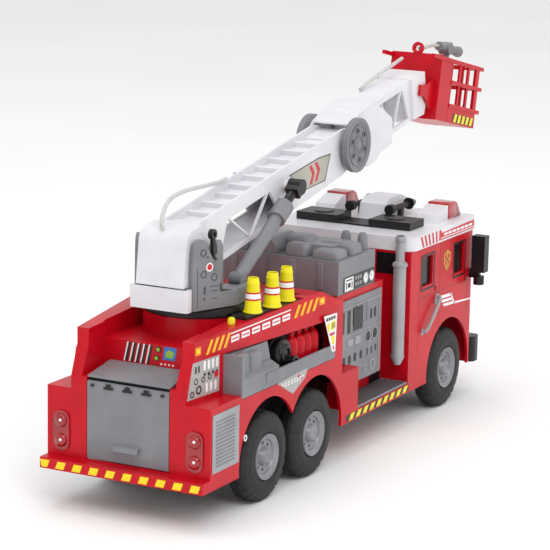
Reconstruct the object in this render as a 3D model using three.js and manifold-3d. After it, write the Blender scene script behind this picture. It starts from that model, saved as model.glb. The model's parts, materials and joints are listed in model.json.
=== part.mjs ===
// Toy fire engine with a turning, lifting boom and a rescue basket.
// Millimetres, +Z up, +X towards the cab, +Y to the engine's left, ground at Z = 0.

import * as THREE from 'three';
import { mergeVertices } from 'three/addons/utils/BufferGeometryUtils.js';
import Module from 'manifold-3d';

const wasm = await Module();
wasm.setup();

// ---------------------------------------------------------------- driving dimensions

const GAP = 0.3;                 // clearance kept between neighbouring pieces
const WALL = 2.5;                // moulded wall thickness

const REAR_X = -299;             // flat rear face of the body
const BODY_HALF = 73.5;          // half width of the lower body and the cab
const SKIRT_Z = 31.6;            // lower edge of body, skirts and cab
const SHOULDER_Z = 96.4;         // ledge on which the side bays stand
const DECK_REAR_Z = 142.9;       // top edge of the upper body at the rear
const DECK_FRONT_Z = 153.7;      // top edge of the upper body ahead of the bays
const BAY_BODY_END_X = -78.4;    // where the full width upper body ends
const PILLAR_END_X = -46.7;      // where the step recess begins
const HOUSE_HALF = 58.5;         // half width of the pump house
const HOUSE_END_X = 28;          // front wall of the pump house
const HOUSE_TOP_Z = 137.5;       // top of the pump house
const TUNNEL_HALF = 45;          // chassis tunnel half width
const CAB_REAR_X = 53.3;
const CAB_FRONT_X = 194.5;
const CAB_TOP_Z = 158;
const ROOF_TOP_Z = 170.6;
const STEP_Z = 42;
const TOE_HALF = 47.2;           // back of the toe space under the pump panels
const TOE_TOP_Z = 57;

const WHEEL_RADIUS = 36.6;
const TYRE_WIDTH = 20.6;
const AXLE_X = [-205.9, -125.6, 138.8];
const REAR_ARCH_RADIUS = 48;
const FRONT_ARCH_RADIUS = 46;

const HATCH_HALF = 37.4;         // rear hatch door
const HATCH_BOTTOM_Z = 41.5;
const HATCH_TOP_Z = 105;

const TURN_X = -191.6;           // turntable axis
const RING_RADIUS = 46;
const RING_BOTTOM_Z = 147.3;
const RING_TOP_Z = 156;
const PIVOT_X = -33.9;           // boom pivot, from the turntable axis
const PIVOT_Z = 189.8;
const BOOM_RISE = THREE.MathUtils.degToRad(10.3);
const BOOM_HALF = 16.5;
const KNEE_S = 274;              // knee pivot along the boom
const KNEE_N = 12;               // knee pivot above the boom axis
const BASKET_S = 418;            // basket pivot along the boom
const BASKET_N = 19;
const BASKET_TILT = THREE.MathUtils.degToRad(22.3);
const BASKET_HALF = 26;

// ---------------------------------------------------------------- colours

const RED = 0xc1121f;
const GREY = 0x8b8c90;
const WHITE = 0xe9e8ea;
const BLACK = 0x1d1d1f;
const YELLOW = 0xe8dc12;
const TYRE = 0x2a2a2c;
const STEEL = 0xb4b6ba;

// ---------------------------------------------------------------- geometry helpers

function toSolid(geometry) {
  const bare = geometry.clone();
  bare.deleteAttribute('normal');
  bare.deleteAttribute('uv');
  const merged = mergeVertices(bare, 1e-4);
  return new wasm.Manifold(new wasm.Mesh({
    numProp: 3,
    vertProperties: new Float32Array(merged.attributes.position.array),
    triVerts: new Uint32Array(merged.index.array),
  }));
}

function toGeometry(solid) {
  const mesh = solid.getMesh();
  const geometry = new THREE.BufferGeometry();
  geometry.setAttribute('position', new THREE.BufferAttribute(new Float32Array(mesh.vertProperties), 3));
  geometry.setIndex(new THREE.BufferAttribute(new Uint32Array(mesh.triVerts), 1));
  geometry.computeVertexNormals();
  return geometry;
}

function outline(points) {
  return new THREE.Shape(points.map(([a, b]) => new THREE.Vector2(a, b)));
}

// A block between two corners.
function block(x0, x1, y0, y1, z0, z1) {
  const geometry = new THREE.BoxGeometry(x1 - x0, y1 - y0, z1 - z0);
  geometry.translate((x0 + x1) / 2, (y0 + y1) / 2, (z0 + z1) / 2);
  return toSolid(geometry);
}

// A plan outline (x, y) raised from z0 to z1.
function raised(shape, z0, z1, segments = 6) {
  const geometry = new THREE.ExtrudeGeometry(shape, { depth: z1 - z0, bevelEnabled: false, curveSegments: segments });
  geometry.translate(0, 0, z0);
  return toSolid(geometry);
}

// A side outline (x, z) spread from y0 to y1.
function spread(shape, y0, y1, segments = 6) {
  const geometry = new THREE.ExtrudeGeometry(shape, { depth: y1 - y0, bevelEnabled: false, curveSegments: segments });
  geometry.rotateX(Math.PI / 2);
  geometry.translate(0, y1, 0);
  return toSolid(geometry);
}

// An end outline (y, z) drawn along x from x0 to x1.
function drawn(shape, x0, x1, segments = 6) {
  const geometry = new THREE.ExtrudeGeometry(shape, { depth: x1 - x0, bevelEnabled: false, curveSegments: segments });
  const toX = new THREE.Matrix4().makeBasis(
    new THREE.Vector3(0, 1, 0), new THREE.Vector3(0, 0, 1), new THREE.Vector3(1, 0, 0));
  geometry.applyMatrix4(toX);
  geometry.translate(x0, 0, 0);
  return toSolid(geometry);
}

// A round bar along one axis, with its ends at a and b on that axis.
function bar(axis, radius, a, b, u, v, segments = 20, radiusB = radius) {
  const geometry = new THREE.CylinderGeometry(radiusB, radius, b - a, segments);
  geometry.translate(0, (a + b) / 2, 0);
  if (axis === 'x') {
    geometry.rotateZ(-Math.PI / 2);
    geometry.translate(0, u, v);
  } else if (axis === 'y') {
    geometry.translate(u, 0, v);
  } else {
    geometry.rotateX(Math.PI / 2);
    geometry.translate(u, v, 0);
  }
  return toSolid(geometry);
}

// A turned body about the y axis through (x, z); the profile is [radius, y].
function turned(profile, x, z, segments = 28) {
  const geometry = new THREE.LatheGeometry(profile.map(([r, y]) => new THREE.Vector2(r, y)), segments);
  geometry.translate(x, 0, z);
  return toSolid(geometry);
}

// A turned body about the z axis through (x, y); the profile is [radius, z].
function upright(profile, x, y, segments = 24) {
  const geometry = new THREE.LatheGeometry(profile.map(([r, z]) => new THREE.Vector2(r, z)), segments);
  geometry.rotateX(Math.PI / 2);
  geometry.translate(x, y, 0);
  return toSolid(geometry);
}

function roundedRect(x0, x1, y0, y1, radius) {
  const shape = new THREE.Shape();
  shape.moveTo(x0 + radius, y0);
  shape.lineTo(x1 - radius, y0);
  shape.absarc(x1 - radius, y0 + radius, radius, -Math.PI / 2, 0, false);
  shape.lineTo(x1, y1 - radius);
  shape.absarc(x1 - radius, y1 - radius, radius, 0, Math.PI / 2, false);
  shape.lineTo(x0 + radius, y1);
  shape.absarc(x0 + radius, y1 - radius, radius, Math.PI / 2, Math.PI, false);
  shape.lineTo(x0, y0 + radius);
  shape.absarc(x0 + radius, y0 + radius, radius, Math.PI, Math.PI * 1.5, false);
  return shape;
}

function join(...solids) {
  return solids.reduce((whole, next) => whole.add(next));
}

function cut(solid, ...tools) {
  return tools.reduce((whole, tool) => whole.subtract(tool), solid);
}

function mirrored(solid) {
  return solid.mirror([0, 1, 0]);
}

const sides = [['right', -1], ['left', 1]];

// A solid modelled on the right (negative y) side, moved to either side.
function onSide(solid, sign) {
  return sign < 0 ? solid : mirrored(solid);
}

function tube(points, diameter, sides8 = 8) {
  const curve = new THREE.CatmullRomCurve3(points.map(([x, y, z]) => new THREE.Vector3(x, y, z)));
  const section = new THREE.Shape();
  for (let i = 0; i < sides8; i += 1) {
    const angle = (i / sides8) * Math.PI * 2;
    const x = (Math.cos(angle) * diameter) / 2;
    const y = (Math.sin(angle) * diameter) / 2;
    if (i === 0) section.moveTo(x, y);
    else section.lineTo(x, y);
  }
  const steps = Math.max(6, Math.round(curve.getLength() / (diameter * 2.5)));
  return new THREE.ExtrudeGeometry(section, { steps, extrudePath: curve, bevelEnabled: false });
}

const fireEngine = new THREE.Group();

function place(parent, name, shape, colour, roughness = 0.45, metalness = 0) {
  const geometry = shape.isBufferGeometry ? shape : toGeometry(shape);
  const material = new THREE.MeshStandardMaterial({ color: colour, roughness, metalness });
  const mesh = new THREE.Mesh(geometry, material);
  mesh.name = name;
  parent.add(mesh);
  return mesh;
}

// ---------------------------------------------------------------- body shell

const BAND_REAR_HALF = 51.5;     // upper body half width at the rear
const FRONT_CORNER_X = -94.5;    // where the flared upper wall reaches full width
const RECESS_HALF = 42;          // instrument recess between the rear fins
const RECESS_X = -264;           // instrument wall
const RECESS_Z = 107;            // floor of the recess, over the hatch
const FIN_FLOOR_Z = 131;         // flat between the fins behind the tower
const BAY_REAR_X = -251;         // side bay opening
const BAY_FRONT_X = -92;
const BAY_INNER = 47.4;          // back of the side bay
const BAY_TOP_Z = 127.6;         // underside of the upper band at the rear

const TRAY_BOTTOM_Z = 147.6;
const TRAY_TOP_Z = 151;
const BUTTON_X = -228;
const BUTTON_Y = -50.5;

function flaredPlan(inset) {
  const rear = BAND_REAR_HALF - inset;
  const front = BODY_HALF - inset;
  return outline([
    [REAR_X + inset, -rear], [FRONT_CORNER_X, -front], [BAY_BODY_END_X - inset, -front],
    [BAY_BODY_END_X - inset, front], [FRONT_CORNER_X, front], [REAR_X + inset, rear],
  ]);
}

function archTool(x, radius) {
  return bar('y', radius, -BODY_HALF - 5, BODY_HALF + 5, x, WHEEL_RADIUS + 1, 40);
}

// Plan of the tray the traffic cones stand on.
function trayPlan(margin) {
  return outline([[-216 - margin, -44 + margin], [-216 - margin, -57 - margin], [-138 + margin, -67 - margin],
    [-138 + margin, -44 + margin]]);
}

function bodyShell() {
  const lower = block(REAR_X, BAY_BODY_END_X, -BODY_HALF, BODY_HALF, SKIRT_Z, SHOULDER_Z);
  const pillar = spread(outline([
    [BAY_BODY_END_X - 5, SKIRT_Z], [PILLAR_END_X, SKIRT_Z], [PILLAR_END_X, 77], [BAY_BODY_END_X - 5, 77],
  ]), -BODY_HALF, BODY_HALF);
  const side = spread(outline([
    [REAR_X, 90], [REAR_X, RECESS_Z], [-288.7, 130], [-288.7, DECK_REAR_Z], [-114.4, DECK_FRONT_Z],
    [-85.7, 141.2], [BAY_BODY_END_X, 141.2], [BAY_BODY_END_X, 90],
  ]), -BODY_HALF, BODY_HALF);
  const upper = raised(flaredPlan(0), 90, DECK_FRONT_Z).intersect(side);
  const ringSeat = bar('z', RING_RADIUS + 1.5, RING_BOTTOM_Z - 0.4, 170, TURN_X, 0, 32);
  const house = block(BAY_BODY_END_X - 10, HOUSE_END_X, -HOUSE_HALF, HOUSE_HALF, 40, HOUSE_TOP_Z);
  const skirts = block(PILLAR_END_X - 1, CAB_REAR_X - GAP, -BODY_HALF, BODY_HALF, SKIRT_Z, STEP_Z - 2.4);
  const tower = bar('z', RING_RADIUS - 1, 125, RING_BOTTOM_Z - 0.4, TURN_X, 0, 32);
  const bumper = block(REAR_X - 11, REAR_X + 1, -BODY_HALF, BODY_HALF, SKIRT_Z, 40.5);

  let shell = join(lower, pillar, upper, house, skirts, bumper);
  shell = cut(shell,
    block(REAR_X - 1, RECESS_X, -RECESS_HALF, RECESS_HALF, RECESS_Z, 170),
    block(RECESS_X - 1, TURN_X, -44, 44, FIN_FLOOR_Z, 170));
  shell = cut(shell.add(tower), ringSeat, raised(trayPlan(GAP), TRAY_BOTTOM_Z - GAP, 170));

  const lowerCavity = block(REAR_X + WALL, PILLAR_END_X - WALL, -BODY_HALF + WALL, BODY_HALF - WALL, 20, 77 - WALL);
  const midCavity = block(REAR_X + WALL, BAY_BODY_END_X - WALL, -BODY_HALF + WALL, BODY_HALF - WALL, 20,
    SHOULDER_Z - WALL);
  const upperCavity = cut(raised(flaredPlan(WALL), 85, DECK_FRONT_Z).intersect(side.translate([0, 0, -WALL])),
    block(REAR_X, RECESS_X + WALL, -BODY_HALF, BODY_HALF, RECESS_Z - WALL, 170),
    block(RECESS_X, TURN_X + WALL, -44 - WALL, 44 + WALL, FIN_FLOOR_Z - WALL, 170),
    bar('z', RING_RADIUS + 1.5 + WALL, RING_BOTTOM_Z - WALL, 170, TURN_X, 0, 32),
    raised(trayPlan(GAP + WALL), TRAY_BOTTOM_Z - WALL, 170));
  const towerCavity = bar('z', RING_RADIUS - 3.5, 80, RING_BOTTOM_Z - 3.4, TURN_X, 0, 32);
  const houseCavity = block(BAY_BODY_END_X - 12, HOUSE_END_X - WALL, -HOUSE_HALF + WALL, HOUSE_HALF - WALL, 20,
    HOUSE_TOP_Z - WALL);
  const skirtCavity = block(PILLAR_END_X - 3, CAB_REAR_X + 5, -BODY_HALF + WALL, BODY_HALF - WALL, 20, STEP_Z - 4.9);
  shell = cut(shell, lowerCavity, midCavity, upperCavity, towerCavity, houseCavity, skirtCavity);
  const toeWall = block(PILLAR_END_X - 3, HOUSE_END_X, -HOUSE_HALF, -TOE_HALF + 2, STEP_Z - 4.9, TOE_TOP_Z + 2.4);
  const toe = block(PILLAR_END_X, HOUSE_END_X + 1, -HOUSE_HALF - 1, -TOE_HALF, STEP_Z - 2.4, TOE_TOP_Z);
  shell = cut(join(shell, toeWall, mirrored(toeWall)), toe, mirrored(toe));

  shell = shell.subtract(block(20, CAB_REAR_X, -TUNNEL_HALF - 1, TUNNEL_HALF + 1, 20, 79));
  const hatchHole = block(REAR_X - 2, REAR_X + 5, -HATCH_HALF, HATCH_HALF, HATCH_BOTTOM_Z, HATCH_TOP_Z + 4);
  const spindle = bar('z', 12.4, 100, 170, TURN_X, 0, 24);
  const buttonHole = bar('z', 3.4, 138, 160, BUTTON_X, BUTTON_Y, 16);
  shell = cut(shell, hatchHole, spindle, buttonHole);
  const bay = block(BAY_REAR_X, BAY_FRONT_X, -BODY_HALF - 1, -BAY_INNER, SHOULDER_Z - 3, BAY_TOP_Z);
  shell = cut(shell, bay, mirrored(bay));
  for (const x of AXLE_X.slice(0, 2)) {
    shell = cut(shell, archTool(x, REAR_ARCH_RADIUS));
  }
  return shell;
}

place(fireEngine, 'body_shell', bodyShell(), RED, 0.35);

// ---------------------------------------------------------------- chassis, rear shelf and hatch

function chassis() {
  const plate = block(REAR_X + WALL + GAP, CAB_FRONT_X - WALL - GAP, -TUNNEL_HALF, TUNNEL_HALF, 29, 32);
  const tunnel = block(-255, CAB_FRONT_X - 12, -TUNNEL_HALF, TUNNEL_HALF, 31, 78);
  const hollow = block(-252, CAB_FRONT_X - 15, -TUNNEL_HALF + WALL, TUNNEL_HALF - WALL, 32, 75.5);
  let frame = join(plate, cut(tunnel, hollow));
  for (const x of AXLE_X) {
    frame = cut(frame, bar('y', 2.3, -60, 60, x, WHEEL_RADIUS, 16));
  }
  return frame;
}

place(fireEngine, 'chassis_frame', chassis(), BLACK, 0.6);
place(fireEngine, 'battery_box', cut(block(-66, 22, -28, 28, 32 + GAP, 54), block(-63, 19, -25, 25, 31, 51)), GREY, 0.6);

// Sloping shelf over the hatch, with its upstand against the instrument wall.
function rearShelf() {
  const slope = outline([
    [REAR_X + 0.5, RECESS_Z + GAP], [RECESS_X - GAP, RECESS_Z + GAP], [RECESS_X - GAP, 114],
    [RECESS_X - 3, 114], [REAR_X + 0.5, RECESS_Z + 1.6],
  ]);
  return spread(slope, -HATCH_HALF + GAP, HATCH_HALF - GAP);
}

place(fireEngine, 'rear_shelf', rearShelf(), GREY, 0.5);

// The hatch swings about its top edge.
const hatch = new THREE.Group();
hatch.position.set(REAR_X + 1.4, 0, HATCH_TOP_Z - 1.5);
fireEngine.add(hatch);

function hatchDoor() {
  const height = HATCH_TOP_Z - HATCH_BOTTOM_Z - 1;
  const half = HATCH_HALF - GAP * 2;
  const door = block(-1.4, 0.9, -half, half, -height + 1.4, 0.6);
  const rib = bar('y', 1.3, -half, half, 0.3, 0, 12);
  const grip = spread(outline([[-1.2, -46], [-5, -47.5], [-6, -51], [-4.6, -51.4], [-1.2, -49.5]]), -11, 11);
  return join(door, rib, grip);
}

place(hatch, 'rear_hatch', hatchDoor(), GREY, 0.5);

// ---------------------------------------------------------------- side bays and their equipment

const LINER_X0 = BAY_REAR_X + GAP;
const LINER_X1 = BAY_FRONT_X - GAP;

function bayLiner() {
  const floor = block(LINER_X0, LINER_X1, -BODY_HALF, -BAY_INNER - GAP, SHOULDER_Z - 2.6, SHOULDER_Z + 1);
  const back = block(LINER_X0, LINER_X1, -BAY_INNER - GAP - 1.6, -BAY_INNER - GAP, SHOULDER_Z, BAY_TOP_Z - GAP);
  const lip = block(LINER_X0 + 40, LINER_X1, -BODY_HALF, -BODY_HALF + 1.8, SHOULDER_Z, SHOULDER_Z + 9);
  const endWall = block(LINER_X0, LINER_X0 + 4, -BODY_HALF, -BAY_INNER - GAP, SHOULDER_Z, BAY_TOP_Z - GAP);
  const hoseBox = drawn(outline([
    [-BODY_HALF, SHOULDER_Z], [-BODY_HALF + 1, 108], [-BODY_HALF + 9, 112], [-BODY_HALF + 12, BAY_TOP_Z - GAP - 1],
    [-50, BAY_TOP_Z - GAP - 1], [-50, SHOULDER_Z],
  ]), LINER_X0 + 3, LINER_X0 + 62);
  const trough = drawn(outline([[-BODY_HALF + 3, 113], [-BODY_HALF - 1, 109], [-BODY_HALF - 1, 130],
    [-BODY_HALF + 7, 130]]), LINER_X0 + 12, LINER_X0 + 56);
  return join(floor, back, lip, endWall, cut(hoseBox, trough));
}

// Hose pump and bottles, one moulded insert standing on the liner's floor.
function bayKit() {
  const base = block(LINER_X0 + 64, LINER_X1 - 6, -67, -51, SHOULDER_Z + 1 + GAP, SHOULDER_Z + 3.5);
  const pumpX = LINER_X0 + 84;
  const pump = bar('y', 12.5, -70, -52, pumpX, SHOULDER_Z + 15, 16);
  const outlet = bar('y', 6, -72.6, -60, pumpX + 3, SHOULDER_Z + 16, 12);
  let kit = join(base, pump, outlet);
  for (let i = 0; i < 3; i += 1) {
    const x = pumpX + 22 + i * 13.2;
    kit = kit.add(upright([[0, SHOULDER_Z + 3], [6.3, SHOULDER_Z + 3], [6.3, 119], [3, 123], [3, 125.5],
      [0, 125.5]], x, -60, 12));
  }
  return kit;
}

for (const [name, sign] of sides) {
  place(fireEngine, `bay_liner_${name}`, onSide(bayLiner(), sign), GREY, 0.5);
  place(fireEngine, `bay_kit_${name}`, onSide(bayKit(), sign), BLACK, 0.5);
}

// ---------------------------------------------------------------- pump house top, panels, steps, stacks

const TOP_X0 = -59;
const TOP_X1 = 11;

function superstructure() {
  const z0 = HOUSE_TOP_Z + GAP;
  const body = block(TOP_X0, TOP_X1, -HOUSE_HALF, HOUSE_HALF, z0, 167);
  const hollow = block(TOP_X0 + WALL, TOP_X1 - WALL, -HOUSE_HALF + WALL, HOUSE_HALF - WALL, z0 - 1, 164);
  const generator = bar('x', 11, TOP_X0 + 4, TOP_X1 - 22, 14, 169, 20);
  const reel = bar('y', 9, 26, 52, TOP_X0 + 16, 170, 20);
  const tank = spread(outline([[TOP_X0 + 14, 166], [TOP_X0 + 18, 176], [TOP_X1 - 16, 176], [TOP_X1 - 10, 166]]),
    -44, -14);
  const bollards = [-50, -34, 44].map((y) => upright([[0, 166], [4.4, 166], [4.4, 178], [2.6, 182], [0, 182]],
    TOP_X1 - 8, y, 14));
  return join(cut(body, hollow), cut(join(generator, reel), block(-90, 40, -60, 60, 150, 166)), tank, ...bollards);
}

place(fireEngine, 'superstructure', superstructure(), GREY, 0.45);

function pumpPanel() {
  const panel = block(-77, 22.4, -HOUSE_HALF - GAP - 1.6, -HOUSE_HALF - GAP, 77 + GAP, 131.7);
  const lower = block(PILLAR_END_X + GAP, 22.4, -HOUSE_HALF - GAP - 1.6, -HOUSE_HALF - GAP, TOE_TOP_Z, 80);
  const doors = [[-34, 8, 108, 126], [-18, 12, 108, 126]].map(([x, width, z0, z1]) => block(x, x + width,
    -HOUSE_HALF - 4, -HOUSE_HALF - 1.4, z0, z1));
  return cut(join(panel, lower), ...doors);
}

function stepPlate() {
  return block(PILLAR_END_X + GAP, CAB_REAR_X - GAP * 2, -BODY_HALF + 0.6, -TOE_HALF - GAP * 2, STEP_Z - 2.4 + GAP,
    STEP_Z);
}

function stack() {
  return upright([[0, 58], [3, 58], [5.7, 64], [5.7, 146], [6.6, 147], [6.6, 149.5], [4, 151], [4, 169], [4.6, 169],
    [4.6, 173.6], [0, 173.6]], 46.2, -66, 16);
}

for (const [name, sign] of sides) {
  place(fireEngine, `pump_panel_${name}`, onSide(pumpPanel(), sign), GREY, 0.5);
  place(fireEngine, `step_plate_${name}`, onSide(stepPlate(), sign), GREY, 0.5);
  place(fireEngine, `exhaust_stack_${name}`, onSide(stack(), sign), STEEL, 0.35, 0.3);
}

// ---------------------------------------------------------------- cab

const CAB_CORNER = 9;

function cabPlan(inset) {
  const shape = new THREE.Shape();
  const half = BODY_HALF - inset;
  const front = CAB_FRONT_X - inset;
  const radius = CAB_CORNER - inset;
  shape.moveTo(CAB_REAR_X + inset, -half);
  shape.lineTo(front - radius, -half);
  shape.absarc(front - radius, -half + radius, radius, -Math.PI / 2, 0, false);
  shape.lineTo(front, half - radius);
  shape.absarc(front - radius, half - radius, radius, 0, Math.PI / 2, false);
  shape.lineTo(CAB_REAR_X + inset, half);
  shape.closePath();
  return shape;
}

function cabShell() {
  let cab = raised(cabPlan(0), SKIRT_Z, CAB_TOP_Z);
  cab = cut(cab, raised(cabPlan(WALL), 20, CAB_TOP_Z + 1), archTool(AXLE_X[2], FRONT_ARCH_RADIUS),
    block(CAB_REAR_X - 1, CAB_REAR_X + 5, -TUNNEL_HALF - 1, TUNNEL_HALF + 1, 20, 79));
  const windows = [
    spread(roundedRect(74.6, 99.6, 122.8, 149.3, 2), -BODY_HALF - 5, BODY_HALF + 5, 3),
    spread(roundedRect(146, 169, 122.8, 150, 2), -BODY_HALF - 5, BODY_HALF + 5, 3),
    drawn(roundedRect(-62, 62, 108, 150, 4), CAB_FRONT_X - 5, CAB_FRONT_X + 2, 3),
  ];
  return cut(cab, ...windows);
}

// Dark glazing behind all the window openings, one moulded liner.
function glazing() {
  const z0 = 100;
  const z1 = CAB_TOP_Z - 1;
  return cut(raised(cabPlan(WALL + GAP), z0, z1), raised(cabPlan(WALL + GAP + 1.4), z0 - 1, z1 + 1));
}

function cabRoof() {
  const slabShape = roundedRect(CAB_REAR_X, CAB_FRONT_X + 2, -74.7, 74.7, 10);
  const slab = raised(slabShape, CAB_TOP_Z + GAP, ROOF_TOP_Z);
  const centre = spread(outline([[122, 170], [126, 184], [134, 189], [160, 189], [176, 183], [186, 170]]), -13, 13);
  const housing = spread(outline([[128, 170], [133, 178], [150, 184], [170, 184], [170, 170]]), -62, -42);
  const underside = block(CAB_REAR_X + 8, CAB_FRONT_X - 8, -66, 66, CAB_TOP_Z - 1, ROOF_TOP_Z - 3);
  return cut(join(slab, centre, housing, mirrored(housing)), underside);
}

// Two raised roof hatches joined by a flat strip.
function roofHatches() {
  const z0 = ROOF_TOP_Z + GAP;
  const strip = block(84, 112, -20, 20, z0, z0 + 1.2);
  const lid = join(block(84, 114, -57, -16, z0, z0 + 7), upright([[0, z0 + 6], [9, z0 + 6], [9, z0 + 7.8],
    [0, z0 + 7.8]], 99, -36, 24));
  return join(strip, lid, mirrored(lid));
}

function beacon() {
  return spread(outline([[170 + GAP, ROOF_TOP_Z + GAP], [170 + GAP, 184], [176, 184], [185, ROOF_TOP_Z + GAP]]), -62, -42);
}

function horn() {
  const tubePart = bar('x', 2.6, 122, 166, -20, 181, 14);
  const bell = bar('x', 5.6, 160, 170, -20, 181, 16, 3);
  const mouth = bar('x', 4.8, 118, 124, -20, 181, 16);
  const foot = block(140, 146, -22, -18, ROOF_TOP_Z + GAP, 181);
  return join(tubePart, bell, mouth, foot);
}

function mirrorArm() {
  const glass = block(178, 188, -90, -77, 120, 154);
  const ball = bar('z', 5, 108, 116, 183, -83, 14);
  const stalk = block(181, 185, -84, -BODY_HALF - GAP, 114, 122);
  return join(glass, ball, stalk);
}

place(fireEngine, 'cab_shell', cabShell(), RED, 0.35);
place(fireEngine, 'cab_glazing', glazing(), BLACK, 0.2);
place(fireEngine, 'cab_roof', cabRoof(), WHITE, 0.35);
place(fireEngine, 'roof_hatches', roofHatches(), BLACK, 0.5);
for (const [name, sign] of sides) {
  place(fireEngine, `beacon_${name}`, onSide(beacon(), sign), RED, 0.2);
  place(fireEngine, `air_horn_${name}`, onSide(horn(), sign), BLACK, 0.4);
  place(fireEngine, `mirror_${name}`, onSide(mirrorArm(), sign), BLACK, 0.4);
}

function frontBumper() {
  const shape = roundedRect(CAB_FRONT_X + GAP, 211, -BODY_HALF - 1, BODY_HALF + 1, 6);
  return raised(shape, 30, 54);
}

place(fireEngine, 'front_bumper', frontBumper(), BLACK, 0.5);

function tailLight() {
  const back = drawn(roundedRect(-67.6, -52.8, 45.6, 77.4, 6.5), REAR_X - 1.4, REAR_X - GAP);
  const lenses = [53.5, 69.5].map((z) => bar('x', 4.6, REAR_X - 3.4, REAR_X - 1, -60.2, z, 14));
  return join(back, ...lenses);
}

for (const [name, sign] of sides) {
  place(fireEngine, `tail_light_${name}`, onSide(tailLight(), sign), RED, 0.25);
}

// ---------------------------------------------------------------- wheels

const RIM_RADIUS = 18.8;
const AXLE_RADIUS = 2;
const TYRE_OUTER = 73.2;
const TYRE_INNER = TYRE_OUTER - TYRE_WIDTH;

// Two rims on one steel axle turn together.
function wheelSet() {
  const axle = bar('y', AXLE_RADIUS, -60, 60, 0, 0, 10);
  const rim = turned([[0, -TYRE_OUTER + 1.5], [6.5, -TYRE_OUTER + 1.5], [8, -TYRE_OUTER + 5], [13, -TYRE_OUTER + 5],
    [RIM_RADIUS, -TYRE_OUTER + 0.6], [RIM_RADIUS, -TYRE_INNER - 0.6], [15, -TYRE_INNER - 0.6],
    [14, -TYRE_OUTER + 9], [5, -TYRE_OUTER + 9], [5, -TYRE_INNER - 0.6], [0, -TYRE_INNER - 0.6]], 0, 0, 18);
  return join(axle, rim, mirrored(rim));
}

// The tread has a flat at the bottom at wheel radius from the axle.
const TYRE_FLATS = 28;

function tyre() {
  const inner = RIM_RADIUS + GAP;
  const tread = WHEEL_RADIUS / Math.cos(Math.PI / TYRE_FLATS);
  return turned([
    [inner, -TYRE_OUTER + 1], [tread - 3, -TYRE_OUTER + 0.4], [tread, -TYRE_OUTER + 3.5],
    [tread, -TYRE_INNER - 3.5], [tread - 3, -TYRE_INNER - 0.4],
    [inner, -TYRE_INNER - 1], [inner, -TYRE_OUTER + 1],
  ], 0, 0, TYRE_FLATS).rotate([0, 180 / TYRE_FLATS, 0]);
}

const axleNames = ['rear', 'middle', 'front'];
AXLE_X.forEach((x, i) => {
  const axle = new THREE.Group();
  axle.position.set(x, 0, WHEEL_RADIUS);
  fireEngine.add(axle);
  place(axle, `wheel_set_${axleNames[i]}`, wheelSet(), GREY, 0.4, 0.2);
  for (const [name, sign] of sides) {
    place(axle, `tyre_${axleNames[i]}_${name}`, onSide(tyre(), sign), TYRE, 0.8);
  }
});

// ---------------------------------------------------------------- cones and button on the deck

const CONES = [[-202.6, -55.5], [-176.2, -58.5], [-150, -57.2]];

function coneTray() {
  return cut(raised(trayPlan(0), TRAY_BOTTOM_Z, TRAY_TOP_Z), bar('z', RING_RADIUS + 3, 100, 200, TURN_X, 0, 32));
}

place(fireEngine, 'cone_tray', coneTray(), GREY, 0.6);

const CONE_HEIGHT = 28;

CONES.forEach(([x, y], i) => {
  const stand = new THREE.Group();
  stand.position.set(x, y, TRAY_TOP_Z + GAP);
  fireEngine.add(stand);
  const cone = upright([[0, 0], [7.8, 0], [7.8, 1.4], [6.7, 1.4], [4.2, CONE_HEIGHT], [0, CONE_HEIGHT]], 0, 0, 16);
  place(stand, `traffic_cone_${i + 1}`, cone, YELLOW, 0.5);
});

// Push button beside the tray.
place(fireEngine, 'sound_button', upright([[0, 141], [3, 141], [3, 150], [2.2, 151.4], [0, 151.8]], BUTTON_X, BUTTON_Y, 14),
  YELLOW, 0.5);

// ---------------------------------------------------------------- turntable

const turntable = new THREE.Group();
turntable.position.set(TURN_X, 0, 0);
fireEngine.add(turntable);

const BASE_Z = RING_TOP_Z + GAP;
const CHEEK_REAR = [-54, 22.5];  // inner rear corner of a cheek in plan
const CHEEK_FLARE = Math.atan2(18.6, 46);
const CHEEK_THICK = 4;
const RAM_FOOT = [16.2, 26.5, 170];
const RAM_EYE = [153.5, 13.8];   // ram pin on the boom, along and above the boom axis

function turntableRing() {
  return upright([[0, 132], [12, 132], [12, RING_BOTTOM_Z], [RING_RADIUS, RING_BOTTOM_Z], [RING_RADIUS, 153],
    [RING_RADIUS - 2, RING_TOP_Z], [0, RING_TOP_Z]], 0, 0, 32);
}

function cheek() {
  const side = new THREE.Shape();
  side.moveTo(0, BASE_Z);
  side.lineTo(46, BASE_Z);
  side.lineTo(46, 168);
  side.lineTo(28, 168);
  side.lineTo(28, 182);
  side.lineTo(13, 209);
  side.absarc(8, 206, 6.5, Math.PI * 0.2, Math.PI, false);
  side.lineTo(0, 190);
  side.closePath();
  const slab = new THREE.ExtrudeGeometry(side, { depth: CHEEK_THICK, bevelEnabled: false, curveSegments: 8 });
  slab.rotateX(Math.PI / 2);
  slab.rotateZ(-CHEEK_FLARE);
  slab.translate(CHEEK_REAR[0], -CHEEK_REAR[1], 0);
  return toSolid(slab);
}

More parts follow.
